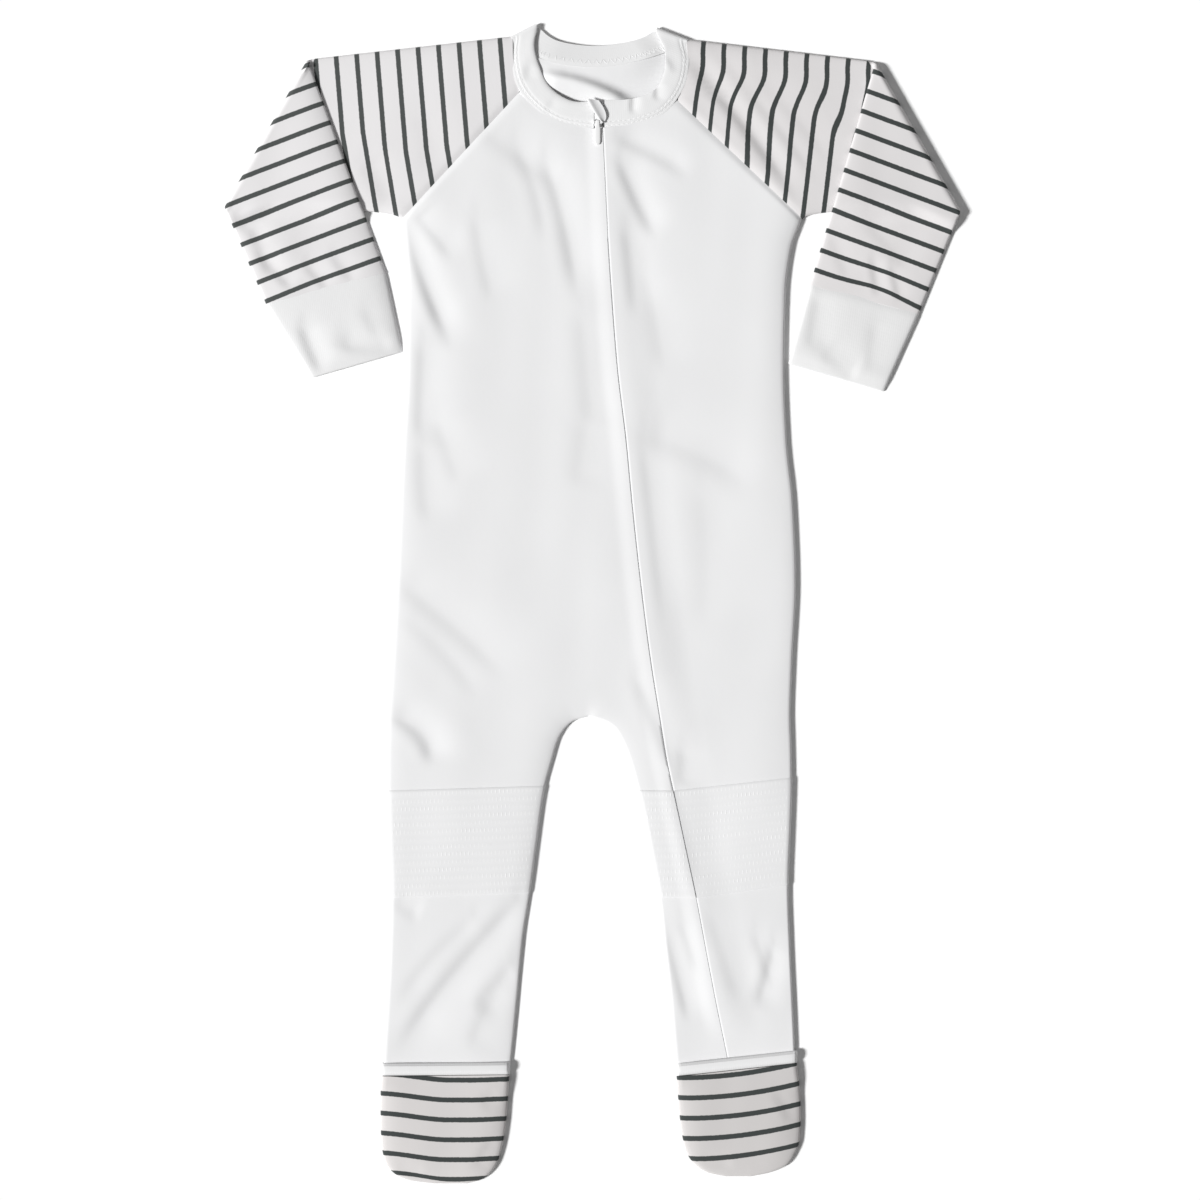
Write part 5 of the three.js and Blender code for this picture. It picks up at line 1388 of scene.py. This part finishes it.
    def pull(self, along: np.ndarray, below: np.ndarray) -> np.ndarray:
        """How far creases drag the upper arm's stripes, at distances below its top edge."""
        if self.cut.side == "left":
            bend = mix(42, 55, ease(25, 40, along))
            return np.where(below < bend, 0.029 * below, 0.029 * bend - 0.056 * (below - bend))
        from_neck = 100.7 - along
        drawn = np.interp(from_neck, (8, 19, 31, 42, 53, 75, 86, 97), (0.3, 2.9, 4.6, 4.3, 3.5, 3.3, 3.6, 2.6))
        relaxed = np.interp(from_neck, (19, 31, 42, 53, 64, 75), (0.9, 1.3, 2.3, 1.3, 0.6, 0.0))
        middle = np.interp(from_neck, (74, 86), (25, 36))
        bulge = np.exp(-(((below - 14) / 8) ** 2)) * ease(0, 12, below)
        step = ease(-10, 10, below - middle)
        return bulge - drawn * step + relaxed * ease(38, 72, below)

    def build(self) -> bpy.types.Object:
        """Builds the sleeve's tube through its sections."""
        shell = Shell()
        sections = [
            (self.upper_section(s), mix(self.seam_width, self.elbow_width, s), "upper", 0.0)
            for s in self.spread(self.upper_length)
        ]
        sections += [
            (self.roll_section(a), self.crease_width, "roll", a)
            for a in np.linspace(0, math.pi, 12)[1:-1]
        ]
        sections += [
            (self.fore_section(s), mix(self.crease_width, self.wrist_width, s), "fore", 0.0)
            for s in self.spread(self.fore_length)
        ]
        rings, cloth = [], []
        for number, (place, width, part, angle) in enumerate(sections):
            ring = self.ring(place, width)
            if part == "roll":
                part = "fore" if angle > math.pi / 2 else "under"
            count = self.stripe_count(ring[:, :2])[part]
            steps = np.linalg.norm(np.diff(ring, axis=0, prepend=ring[:1]), axis=1)
            rings.append(ring)
            along = np.full(len(ring), number * self.ring_pitch)
            cloth.append(np.column_stack([np.cumsum(steps), along, count]))
        numbers = shell.add(np.stack(rings), np.stack(cloth))
        shell.grid(numbers if self.cut.side == "left" else numbers[::-1], around=True)
        shell.thicken(self.wall)
        name = f"sleeve_{self.cut.side}"
        piece = shell.build(name, SLEEVE_KNIT[self.cut.side])
        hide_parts(name)
        return piece

    @staticmethod
    def spread(length: float) -> np.ndarray:
        """Equal shares along a length, a grid's pitch apart."""
        return np.linspace(0, 1, steps_for(length) + 1)


@dataclass
class Cuff:
    """One cuff: rib cloth, doubled over at the hem."""

    cut: SleeveCut
    crown: float = 3.7
    rim: float = 3.1
    edge_round: float = 1.9
    turn: float = 0.75
    span: float = 44.0
    seam_dip: float = 0.55
    hem_dip: float = 1.3
    press: float = 1.3
    ring_pitch: float = 1.8

    def build(self) -> bpy.types.Object:
        """Builds the cuff from its seam over the folded hem and back inside."""
        cut, shell = self.cut, Shell()
        corners = [np.array(corner, float) for corner in (cut.wrist_out, cut.hem_out, cut.wrist_in, cut.hem_in)]
        length = np.linalg.norm(corners[3] - corners[2])
        rings_down = steps_for(length, self.ring_pitch)
        outside = [(s, 0.0) for s in np.linspace(-0.002, 1 - self.turn / length, rings_down)]
        bends = np.linspace(0, math.pi, 7)[1:-1]
        hem = [(1 - self.turn / length * (1 - math.sin(b)), self.turn * (1 - math.cos(b))) for b in bends]
        inside = [(s, 2 * self.turn) for s in np.linspace(1 - self.turn / length, 0.55, 8)]
        rings, cloth = [], []
        for number, (share, inset) in enumerate([*outside, *hem, *inside]):
            out_edge, in_edge = mix(corners[0], corners[1], share), mix(corners[2], corners[3], share)
            ring = self.ring(out_edge, in_edge, inset, share)
            steps = np.linalg.norm(np.diff(ring, axis=0, prepend=ring[:1]), axis=1)
            rings.append(ring)
            along = np.full(len(ring), number * self.ring_pitch)
            cloth.append(np.column_stack([np.cumsum(steps), along, steps * 0]))
        numbers = shell.add(np.stack(rings), np.stack(cloth))
        shell.grid(numbers if cut.side == "right" else numbers[::-1], around=True)
        name = f"cuff_{cut.side}"
        # The right cuff takes the darker rib, which is painted shade.
        piece = shell.build(name, WHITE_RIB if cut.side == "left" else PAINTED_SHADE_RIB)
        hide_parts(name)
        return piece

    def ring(self, out_edge: np.ndarray, in_edge: np.ndarray, inset: float, share: float) -> np.ndarray:
        """Points all round a flattened section of the cuff, drawn in by an inset."""
        cut_in = self.press * self.cut.pressed
        width = np.linalg.norm(out_edge - in_edge)
        reach = self.edge_round / width
        near = 1 - np.cos(np.linspace(0, math.pi / 2, 6))
        inner = np.linspace(reach, 1 - reach, 30)
        across = np.concatenate([near[:-1] * reach, inner, 1 - near[-2::-1] * reach])
        edge = np.minimum(across, 1 - across) * width
        height = self.rim + (self.crown - self.rim) * (1 - np.exp(-edge / RIM_REACH))
        height -= cut_in * np.exp(-(1 - across) * width / 5)
        height -= (
            self.seam_dip * math.exp(-((share * self.span / 1.5) ** 2))
            + self.hem_dip * math.exp(-(((1 - share) * self.span / 4.5) ** 2))
        )
        round_off = 0.5 * (1 - np.sqrt(1 - (1 - np.clip(edge / self.edge_round, 0, 1)) ** 2))
        room = 1 - 2 * inset / width
        plan = mix(out_edge, in_edge, (0.5 + (across - 0.5) * room)[:, None])
        relief = sum(crease.relief(plan) for crease in CUFF_CREASES) * (1 - np.exp(-edge / 3))
        middle = height / 2
        half = np.maximum(middle * (1 - 2 * round_off) - inset, 0.02)
        low = lifted(plan, middle - half)
        high = lifted(plan, middle + half - relief * (1 - 0.7 * inset / 1.5))
        return np.vstack([low, high[::-1][1:-1]])


@dataclass
class Neckband:
    """One strip of rib round the neck, folded at both shoulders, with its twin stitching."""

    neck: Neckline
    width: float = 15.0
    wall: float = 1.7
    settle: float = 22.0
    proud: float = 0.45
    lift: float = 0.3
    back_raised: float = 3.2
    stitch_rows: tuple[float, ...] = (1.9, 3.7)

    def __post_init__(self) -> None:
        """Sets the axis that the band turns about at its folds."""
        self.axis = self.wall + 0.3

    def fold_normal(self, seam: np.ndarray, edge: np.ndarray) -> np.ndarray:
        """Outward plan direction across the fold of the band at a shoulder."""
        along = unit(edge - seam)
        normal = np.array([-along[1], along[0]])
        return normal if normal[1] > 0 else -normal

    def front_run(self, run: int, fold_first: bool) -> list[Callable]:
        """Sections of a front run of the band, from the fold up to the level of the fronts."""
        seams, edges = self.neck.seams[run], self.neck.edges[run]
        if not fold_first:
            seams, edges = seams[::-1], edges[::-1]
        inset = -self.axis * self.fold_normal(seams[0], edges[0])
        steps = np.linalg.norm(np.diff(seams, axis=0), axis=1)
        travelled = np.concatenate([[0], np.cumsum(steps)])
        sections = []
        for seam, edge, distance in zip(seams, edges, travelled):
            shift = inset * (1 - ease(0, 12, distance))

            def place(across: np.ndarray, depth: np.ndarray, seam=seam, edge=edge, shift=shift,
                      distance=distance) -> np.ndarray:
                """Points at shares across and depths below the upper face."""
                plan = mix(seam, edge, across[:, None]) + shift
                level = CROWN_TOP + self.proud - self.wall + self.lift * across
                base = mix(2 * self.axis - self.wall, level, ease(0, self.settle, distance))
                top = 1 - depth / self.wall
                return lifted(plan, base + self.wall - depth - self.shape(across, plan) * top)
            sections.append(place)
        return sections if fold_first else sections[::-1]

    def shape(self, across: np.ndarray, plan: np.ndarray) -> np.ndarray:
        """How far the band's face sinks: to its seam, stitches and edge, and in its creases."""
        to_edge = np.clip(1 - (1 - across) * self.width / 3.2, 0, 1)
        sunk = mix(1.0, 0.3, ease(-12, 18, plan[:, 0])) * (1 - np.sqrt(1 - to_edge**2))
        for row in self.stitch_rows:
            sunk = sunk + 0.22 * np.exp(-(((across * self.width - row) / 0.45) ** 2))
        return sunk + 0.5 * np.exp(-((across * self.width / 2.2) ** 2)) + self.dimples(plan)

    @staticmethod
    def dimples(plan: np.ndarray) -> np.ndarray:
        """Depth of the band's small creases."""
        creases = (
            Crease((21.7, 270), (21.5, 266), (21, 261), 0.7, 1.5),
            Crease((34.4, 277), (34.6, 272), (34, 268), 0.6, 1.7),
            Crease((38, 294), (43, 290), (46, 282), 0.4, 2.4),
            Crease((-33, 287), (-34.5, 283), (-34, 278), 0.45, 2.6),
            Crease((-20, 268), (-24, 264), (-23, 261), 0.3, 2.4),
        )
        return sum(crease.relief(plan) for crease in creases)

    def roll(self, seam: np.ndarray, edge: np.ndarray, from_front: bool) -> list[Callable]:
        """Sections where the band turns from its front part to its back part."""
        normal = self.fold_normal(seam, edge)
        sections = []
        for turn in np.linspace(0, math.pi, 9)[1:-1]:
            def place(across: np.ndarray, depth: np.ndarray, turn=turn) -> np.ndarray:
                """Points at shares across and depths in from the fold's outside."""
                radius = self.axis - depth
                centre = mix(seam, edge, across[:, None]) - normal * self.axis
                plan = centre + normal * (radius * math.sin(turn))[:, None]
                return lifted(plan, self.axis - radius * math.cos(turn))
            sections.append(place)
        return sections[::-1] if from_front else sections

    def back_run(self) -> list[Callable]:
        """Sections of the back part, its seam raised by the fold of the back."""
        seams, edges = self.neck.seams[1], self.neck.edges[1]
        last = len(seams) - 1
        sections = []
        for i, (seam, edge) in enumerate(zip(seams, edges)):
            fold = 0 if i < last / 2 else last
            normal = self.fold_normal(seams[fold], edges[fold])
            near = 1 - ease(0, 7, np.linalg.norm(seam - seams[fold]))
            shift = -self.axis * near * normal
            raised = self.back_raised * ease(2, 26, min(np.linalg.norm(seam - seams[k]) for k in (0, last)))

            def place(across: np.ndarray, depth: np.ndarray, seam=seam, edge=edge, shift=shift,
                      raised=raised) -> np.ndarray:
                """Points at shares across and depths above the surface."""
                sunk = 0.35 * np.exp(-((across * self.width / 2) ** 2)) * depth / self.wall
                return lifted(mix(seam, edge, across[:, None]) + shift,
                              depth + raised * (1 - 0.7 * across) - sunk)
            sections.append(place)
        return sections

    def sections(self) -> list[Callable]:
        """All sections, from the zip over the left fold, the back and the right fold."""
        seams, edges = self.neck.seams[1], self.neck.edges[1]
        return [
            *self.front_run(0, False), *self.roll(seams[0], edges[0], True), *self.back_run(),
            *self.roll(seams[-1], edges[-1], False), *self.front_run(2, True),
        ]

    def build(self) -> bpy.types.Object:
        """Builds the band as a strip with rounded long edges, and its stitching."""
        rows = [0.1, 0.6, 1.1, 1.5, 1.9, 2.4, 2.9, 3.3, 3.7, 4.3, 5.5, 7.3, 9, 10.5, 12, 13, 13.8, 14.4, 14.8]
        face = np.array(rows) / self.width
        count = len(face)
        ring_across = np.concatenate([face, [1.0], face[::-1], [0.0]])
        ring_depth = np.concatenate([
            np.zeros(count), [self.wall - 0.55], np.full(count, self.wall), [self.wall - 0.6],
        ])
        sections = self.sections()
        shell = Shell()
        rings = np.stack([place(ring_across, ring_depth) for place in sections])
        travelled = np.cumsum(np.linalg.norm(np.diff(rings[:, 0], axis=0, prepend=rings[:1, 0]), axis=1))
        cloth = np.zeros_like(rings)
        cloth[..., 0] = travelled[:, None]
        cloth[..., 1] = ring_across * 16
        numbers = shell.add(rings, cloth)
        shell.grid(numbers, around=True)
        for end, turned in ((numbers[0], False), (numbers[-1], True)):
            low, high = end[:count], end[:count:-1][1:]
            faces = np.column_stack([low[:-1], low[1:], high[1:], high[:-1]])
            shell.quads.append(faces if turned else faces[:, ::-1])
        piece = shell.build("neckband", WHITE_RIB)
        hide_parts("neckband")
        stitches = self.build_stitches(sections)
        return piece

    def build_stitches(self, sections: list[Callable]) -> list[bpy.types.Object]:
        """Lays the twin needle rows on the front, and the zigzag inside the back."""
        count = self.neck.steps + 1
        fronts = {"left": sections[2:count - 4], "right": sections[-count + 4:]}
        pieces = []
        for side, part in fronts.items():
            shell = Shell()
            for distance in self.stitch_rows:
                line = np.vstack([place(np.array([distance / self.width]), np.array([0.0])) for place in part])
                row = Stitching(length=2.2, gap=0.5, width=0.5, rise=0.22).along(line)
                offset = shell.count
                shell.add(np.vstack(row.points))
                shell.quads.append(np.vstack(row.quads) + offset)
            pieces.append(shell.build(f"neckband_stitches_{side}", THREAD))
        start = count + 7
        part = sections[start + 8:start + count - 8]
        rows = []
        for distance in (1.4, 4.4):
            depth = np.array([self.wall + 0.04])
            rows.append(np.vstack([place(np.array([distance / 12]), depth) for place in part]))
        pieces.append(self.zigzag(*rows).build("neckband_stitches_back", THREAD))
        return pieces

    @staticmethod
    def zigzag(low: np.ndarray, high: np.ndarray, pitch: float = 1.5) -> Shell:
        """Zigzag thread between two lines."""
        count = int(np.linalg.norm(np.diff(low, axis=0), axis=1).sum() / pitch)
        at = np.linspace(0, len(low) - 1, count)
        points = np.column_stack([
            np.where(np.arange(count) % 2 == 0, np.interp(at, range(len(low)), low[:, k]),
                     np.interp(at, range(len(high)), high[:, k])) for k in range(3)
        ])
        return Stitching(width=0.45, rise=0.18).between(points[:-1], points[1:])


FEET = {
    "left": Table(("y", "left", "right"), (
        (-252, -112.5, -44.4), (-262, -113.3, -45), (-276, -113.3, -46), (-290, -112.6, -48.2),
        (-299, -110.5, -51), (-304.5, -106, -54.8), (-308.2, -98, -60), (-310, -85, -67),
    )),
    "right": Table(("y", "left", "right"), (
        (-249, 44.9, 109.2), (-262, 45.8, 110.8), (-276, 47, 111.4), (-288, 48.9, 110.7),
        (-295, 51.4, 108), (-300, 55.5, 104.4), (-304, 61.5, 96), (-306.2, 71, 85),
    )),
}


@dataclass
class FootCover:
    """One foot cover: striped front and sole side, and the white binding of its mouth."""

    side: str
    tilt: float
    stripe_start: float
    stripe_pitch: float
    stripes_seen: int
    mouth_top: float = 4.9
    binding_width: float = 6.8
    back_top: float = -246.3
    columns: int = 45
    cover_width: float = 65.0

    def __post_init__(self) -> None:
        """Reads the cover's outline."""
        table = FEET[self.side]
        self.left, self.right = table.reader("left"), table.reader("right")
        self.mouth, self.toe = table.column("y")[0], table.column("y")[-1]
        y = mix(self.mouth, self.toe, 1 - (1 - np.linspace(0, 1, 40)) ** 1.8)
        sides = [self.plan(y, np.full(len(y), share)) for share in (0.0, 1.0)]
        self.outline = np.vstack([sides[0], sides[1][::-1]])

    def plan(self, y: np.ndarray, share: np.ndarray) -> np.ndarray:
        """Plan points of the cover; the tilt of its mouth dies out towards the toe."""
        fade = np.clip((y - self.toe) / (self.mouth - self.toe), 0, 1)
        x = mix(self.left(y), self.right(y), share)
        return np.column_stack([x, y + self.tilt * (share - 0.5) * fade])

    def top(self, points: np.ndarray) -> np.ndarray:
        """Height of the cover: held up by the leg at its mouth, rolled down at its seam."""
        distance = nearest(points, self.outline)[0]
        rim = mix(RIM_TOP, self.mouth_top - 0.4, 1 - ease(2, 14, self.mouth - points[:, 1]))
        height = rim + (self.mouth_top - rim) * (1 - np.exp(-distance / RIM_REACH))
        inside = 1 - np.exp(-distance / 3)
        waves = FirstLayer.undulation(points * 1.4)
        return height + inside * (0.8 * waves - sum(crease.relief(points) for crease in FOOT_CREASES))

    def stripes(self, plan: np.ndarray) -> np.ndarray:
        """Stripe counts: the stripes sag as the cover is bent over the toes."""
        width = self.right(plan[:, 1]) - self.left(plan[:, 1])
        share = np.clip((plan[:, 0] - self.left(plan[:, 1])) / width, 0, 1)
        if self.side == "left":
            bend = -3.4 * ease(0, 0.55, share) + 0.5 * ease(0.7, 1, share)
        else:
            bend = 7.6 * share**1.7 - 0.5 * np.sin(share * math.pi)
        count = (self.stripe_start - plan[:, 1] + bend) / self.stripe_pitch
        return np.minimum(count, self.stripes_seen - 0.5)

    def build_front(self) -> bpy.types.Object:
        """Builds the front with its rim rolled down all round the toe."""
        shell = Shell()
        y = mix(self.mouth, self.toe, 1 - (1 - np.linspace(0, 1, 34)) ** 1.7)
        shares = np.linspace(0, 1, 33)
        sides = [self.plan(y, np.full(len(y), share)) for share in (0.0, 1.0)]
        loop = np.vstack([sides[0], mix(sides[0][-1], sides[1][-1], np.linspace(0, 1, 33)[1:-1, None]),
                          sides[1][::-1]])
        out = plan_normals(loop)
        drawn = loop - out * RIM_ROLL
        left, right = drawn[:len(y)], drawn[-len(y):][::-1]
        grid = mix(left[:, None], right[:, None], shares[None, :, None])
        grid[-1] = np.vstack([drawn[len(y) - 1], drawn[len(y):len(y) + 31], drawn[len(y) + 31]])
        flat = grid.reshape(-1, 2)
        cloth = np.column_stack([flat, self.stripes(flat)])
        numbers = shell.add(lifted(flat, self.top(flat)).reshape(*grid.shape[:2], 3), cloth)
        shell.grid(numbers)
        edge = np.concatenate([numbers[:, 0], numbers[-1, 1:-1], numbers[::-1, -1]])
        shell.roll(edge, out, RIM_ROLL, RIM_MIDDLE, 0.1)
        plan = np.vstack(shell.points)[:, :2]
        shell.cloth = [np.column_stack([plan, self.stripes(plan)])]
        shell.thicken(JERSEY)
        name = f"foot_front_{self.side}"
        piece = shell.build(name, FOOT_KNIT[self.side])
        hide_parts(name)
        return piece

    def build_back(self) -> bpy.types.Object:
        """Builds the sole side, flat on the surface inside the front's rim."""
        shell = Shell()
        y = mix(self.back_top, self.toe + 2.4, 1 - (1 - np.linspace(0, 1, 24)) ** 1.6)
        grid = np.stack([self.plan(y, np.full(len(y), share)) for share in np.linspace(0, 1, 22)], axis=1)
        drawn = 2.4 * np.linspace(1, -1, 22)
        grid[..., 0] += drawn[None, :]
        flat = grid.reshape(-1, 2)
        cloth = np.column_stack([flat, self.stripes(flat)])
        points = lifted(flat, np.full(len(flat), JERSEY + 0.05))
        shell.grid(shell.add(points.reshape(*grid.shape[:2], 3), cloth))
        shell.thicken(JERSEY)
        name = f"foot_back_{self.side}"
        piece = shell.build(name, FOOT_KNIT[self.side])
        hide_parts(name)
        return piece

    def build_binding(self) -> bpy.types.Object:
        """Builds the binding, a soft doubled strip that wraps the rim at both ends."""
        shares = np.linspace(0, 1, self.columns)
        width = self.binding_width
        profile = [(width + 0.1, 1.9), (width - 0.1, 1.1), (width - 0.5, 0.45), (width - 1.1, 0.1)]
        profile += [(width * k, -0.65 * math.sin(math.pi * k)) for k in (0.8, 0.6, 0.4, 0.3)]
        profile += [(1.3, 0.0), (0.8, 0.35), (0.4, 0.85), (0.2, 1.4)]
        rows = []
        for up, lower in profile:
            plan = self.plan(np.full(self.columns, self.mouth), shares)
            plan[:, 1] += up
            edge = np.minimum(shares, 1 - shares) * self.cover_width
            top = self.mouth_top + 0.35 - 0.5 * np.exp(-edge / RIM_REACH) - lower
            rows.append(lifted(plan, top))
        shell = Shell()
        rows = np.stack(rows)
        rows[:, 0, 0] += RIM_ROLL
        rows[:, -1, 0] -= RIM_ROLL
        numbers = shell.add(rows)
        shell.grid(numbers)
        for column, way in ((0, -1.0), (-1, 1.0)):
            out = np.tile([way, 0.0], (len(rows), 1))
            shell.roll(numbers[:, column], out, RIM_ROLL + 0.35, RIM_MIDDLE, 0.05)
        shell.thicken(0.8)
        name = f"foot_binding_{self.side}"
        piece = shell.build(name, WHITE_RIB)
        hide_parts(name)
        line = np.vstack([rows[-3] + [0, 0.9, 0.16]])[2:-2]
        stitches = Stitching(length=1.3, gap=0.9, width=0.5, rise=0.18).along(line)
        thread = stitches.build(f"foot_binding_stitches_{self.side}", THREAD)
        return piece


FOOT_CREASES = (
    Crease((-58, -266), (-54, -264), (-50, -262), 0.6, 3),
    Crease((-62, -300), (-56, -292), (-52, -284), 0.5, 3),
    Crease((-104, -300), (-98, -304), (-90, -306), 0.4, 3),
    Crease((98, -262), (104, -268), (107, -278), 0.5, 3),
    Crease((58, -298), (66, -300), (76, -299), 0.4, 3),
)


# Angles of the 16 points of a ring
ROUND = np.linspace(0, 2 * math.pi, 17)[:-1]


@dataclass
class Zip:
    """The covered zip: tape with its closed coil, slider, pull tab and the folded guard."""

    layer: FirstLayer
    hinge: tuple[float, float, float] = (2.65, 256.8, 6.55)
    pull_length: float = 12.2
    pull_width: float = 3.3
    pull_thick: float = 0.9
    slider_x: float = 2.9
    slider_level: float = 4.8
    lug_level: float = 6.2

    def build_tape(self) -> None:
        """Builds the tape under both fronts and the coil along its middle."""
        y = grid_rows(266.5, -221, 4)
        line = zip_at(y)
        shell = Shell()
        x = line[:, None] + np.array([-6.0, -3, -1.5, 1.5, 4, 7, 10])
        plan = np.stack([x, np.broadcast_to(y[:, None], x.shape)], axis=-1).reshape(-1, 2)
        height = np.minimum(self.layer.top(plan), CROWN_TOP) - 2.1
        height = np.where(plan[:, 1] > 245, 3.0, np.maximum(height, 1.6))
        shell.grid(shell.add(lifted(plan, height).reshape(*x.shape, 3)))
        shell.thicken(0.5)
        tape = shell.build("zip_tape", TAPE_WEAVE)
        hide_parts("zip_tape")
        teeth = self.build_coil(y, line)

    def build_coil(self, y: np.ndarray, line: np.ndarray) -> bpy.types.Object:
        """Builds the closed coil's teeth near the top, where the zip can be seen."""
        at = np.arange(252.5, 225, -1.15)
        x = np.interp(-at, -y, line) - 1.6
        centre = np.column_stack([x, at, np.full(len(at), 3.2)])
        half = np.array([1.35, 0.0, 0.0])
        return Stitching(width=0.75, rise=0.45).between(centre - half, centre + half).build("zip_coil", THREAD)

    def build_slider(self) -> bpy.types.Object:
        """Builds the slider's rounded body and the two lugs of the hinge."""
        shell = Shell()
        sections = ((254.2, 1.5), (255, 1.9), (258, 2.3), (261.4, 2.7), (262.8, 2.4), (263.4, 1.8))
        rings = []
        for y, half in sections:
            square, rise = self.squared(np.cos(ROUND), 0.5), self.squared(np.sin(ROUND), 0.5)
            rings.append(np.column_stack([
                self.slider_x + half * square, np.full(16, y), self.slider_level + 0.7 * rise,
            ]))
        self.loft(shell, np.stack(rings))
        for side in (-1, 1):
            centre = self.hinge[0] + side * 1.9
            rings = []
            for x, size in ((-0.4, 0.86), (-0.3, 1), (0.3, 1), (0.4, 0.86)):
                rings.append(np.column_stack([
                    np.full(16, centre + x), self.hinge[1] + 1.2 * size * np.cos(ROUND),
                    self.lug_level + 1.1 * size * np.sin(ROUND),
                ]))
            self.loft(shell, np.stack(rings))
        piece = shell.build("zip_slider", ENAMEL)
        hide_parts("zip_slider")
        return piece

    @staticmethod
    def squared(wave: np.ndarray, power: float) -> np.ndarray:
        """A wave drawn towards a square one, its sign kept."""
        return np.sign(wave) * np.abs(wave) ** power

    @staticmethod
    def loft(shell: Shell, rings: np.ndarray) -> None:
        """Adds a closed body through rings of 16 points."""
        numbers = shell.add(rings)
        shell.grid(numbers, around=True)
        for end, flip in ((numbers[0], False), (numbers[-1], True)):
            faces = np.array([[end[k], end[k + 1], end[14 - k], end[(15 - k) % 16]] for k in range(7)])
            shell.quads.append(faces if flip else faces[:, ::-1])

    def build_pull(self) -> bpy.types.Object:
        """Builds the pull tab: an eye on the hinge, a neck and a blade with a round end."""
        x0, y0, z0 = self.hinge
        half = self.pull_width / 2
        end = y0 - self.pull_length
        outline = [(y0 + 0.75, 0.7), (y0 + 0.5, 1.05), (y0, 1.2), (y0 - 2.2, 1.2)]
        outline += [(y0 - 3, 1.4), (y0 - 3.8, half), (end + half + 0.1, half)]
        outline += [(end + half * (1 - math.sin(a)), half * math.cos(a)) for a in (0.4, 0.8, 1.1, 1.35)]
        rings = []
        for y, wide in outline:
            square, rise = self.squared(np.cos(ROUND), 0.45), self.squared(np.sin(ROUND), 0.6)
            thick = self.pull_thick / 2 * (1.5 if y > y0 - 0.9 else 1.0)
            rings.append(np.column_stack([x0 + wide * square, np.full(16, y), z0 + thick * rise]))
        shell = Shell()
        self.loft(shell, np.stack(rings)[::-1])
        piece = shell.build("zip_pull", ENAMEL, body="zip_pull", sharp=60)
        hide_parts("zip_pull")
        return piece

    def build_guard(self) -> bpy.types.Object:
        """Builds the guard: cloth folded over the top of the zip, its left rim turned up."""
        left = np.array([(-3.4, 269), (-1.6, 265.6), (0.9, 261.4), (3.2, 258.2), (5.4, 256.3)])
        right = np.array([(3.2, 268.2), (5.4, 265), (6.9, 261.8), (7.3, 259), (6.2, 256.4)])
        left_line, right_line = smooth_run(left, 16), smooth_run(right, 16)
        profile = ((0.0, 8.1), (0.1, 8.45), (0.22, 8.35), (0.36, 7.9), (0.6, 7.45), (0.85, 7.3), (1.0, 7.35))
        rows = [lifted(mix(left_line, right_line, share), np.full(17, height)) for share, height in profile]
        rows = np.stack(rows, axis=1)
        rows[..., 2] -= (ease(0.55, 1, np.linspace(0, 1, 17)) * 0.7)[:, None]
        shell = Shell()
        shell.grid(shell.add(rows))
        shell.thicken(0.7)
        piece = shell.build("zip_guard", WHITE_KNIT)
        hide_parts("zip_guard")
        return piece


@dataclass
class Studio:
    """White floor, one soft light from the left and the camera straight above."""

    frame_width: float = 0.642
    centre: Pair = (4.01, 1.87)
    lens: float = 100.0
    sensor: float = 36.0
    sun_strength: float = 4.15
    sun_angle: float = 11.0
    sun_height: float = 40.0
    sun_azimuth: float = 194.0
    ambient: float = 0.205

    def build(self) -> None:
        """Sets the camera, light and floor."""
        scene = bpy.context.scene
        camera = bpy.data.cameras.new("camera")
        camera.lens, camera.sensor_width = self.lens, self.sensor
        view = bpy.data.objects.new("camera", camera)
        distance = self.frame_width * self.lens / self.sensor
        view.location = (self.centre[0] * MM, self.centre[1] * MM, distance)
        scene.collection.objects.link(view)
        scene.camera = view
        light = bpy.data.lights.new("window", "SUN")
        light.energy, light.angle = self.sun_strength, math.radians(self.sun_angle)
        sun = bpy.data.objects.new("window", light)
        tilt = math.radians(90 - self.sun_height)
        sun.rotation_euler = (0, -tilt, math.radians(self.sun_azimuth - 180))
        scene.collection.objects.link(sun)
        scene.world = bpy.data.worlds.new("studio")
        scene.world.use_nodes = True
        background = scene.world.node_tree.nodes["Background"]
        background.inputs["Color"].default_value = (1, 1, 1, 1)
        background.inputs["Strength"].default_value = self.ambient
        scene.view_settings.view_transform = "Standard"
        self.build_floor()

    def build_floor(self) -> None:
        """Lays the white sheet that the garment lies on."""
        mesh = bpy.data.meshes.new("floor")
        size, level = 4.0, -0.05 * MM
        corners = [(-size, -size, level), (size, -size, level), (size, size, level), (-size, size, level)]
        mesh.from_pydata(corners, [], [(0, 1, 2, 3)])
        shader = Shader("white paper")
        shader.feed(shader.surface.inputs["Base Color"], (0.97, 0.97, 0.97, 1))
        shader.surface.inputs["Roughness"].default_value = 1.0
        shader.surface.inputs["Specular IOR Level"].default_value = 0.0
        mesh.materials.append(shader.made)
        floor = bpy.data.objects.new("floor", mesh)
        bpy.context.scene.collection.objects.link(floor)


def main() -> None:
    """Builds the garment's sub-assemblies in order and dresses them."""
    logging.basicConfig(level=logging.INFO, format="%(name)s %(message)s")
    Studio().build()
    neck = Neckline()
    layer = FirstLayer(neck.grooves())
    Back(neck).build()
    fronts = Fronts(neck, layer)
    fronts.build_left()
    fronts.build_right()
    fronts.build_patches()
    for cut in SLEEVES:
        Sleeve(cut, neck, layer).build()
        Cuff(cut).build()
    Neckband(neck).build()
    for foot in (FootCover("left", 0.6, -250.9, 10.62, 6), FootCover("right", 7.0, -253.0, 10.85, 5)):
        foot.build_front()
        foot.build_back()
        foot.build_binding()
    zip_parts = Zip(layer)
    zip_parts.build_tape()
    zip_parts.build_slider()
    zip_parts.build_pull()
    zip_parts.build_guard()


if __name__ == "__main__":
    main()
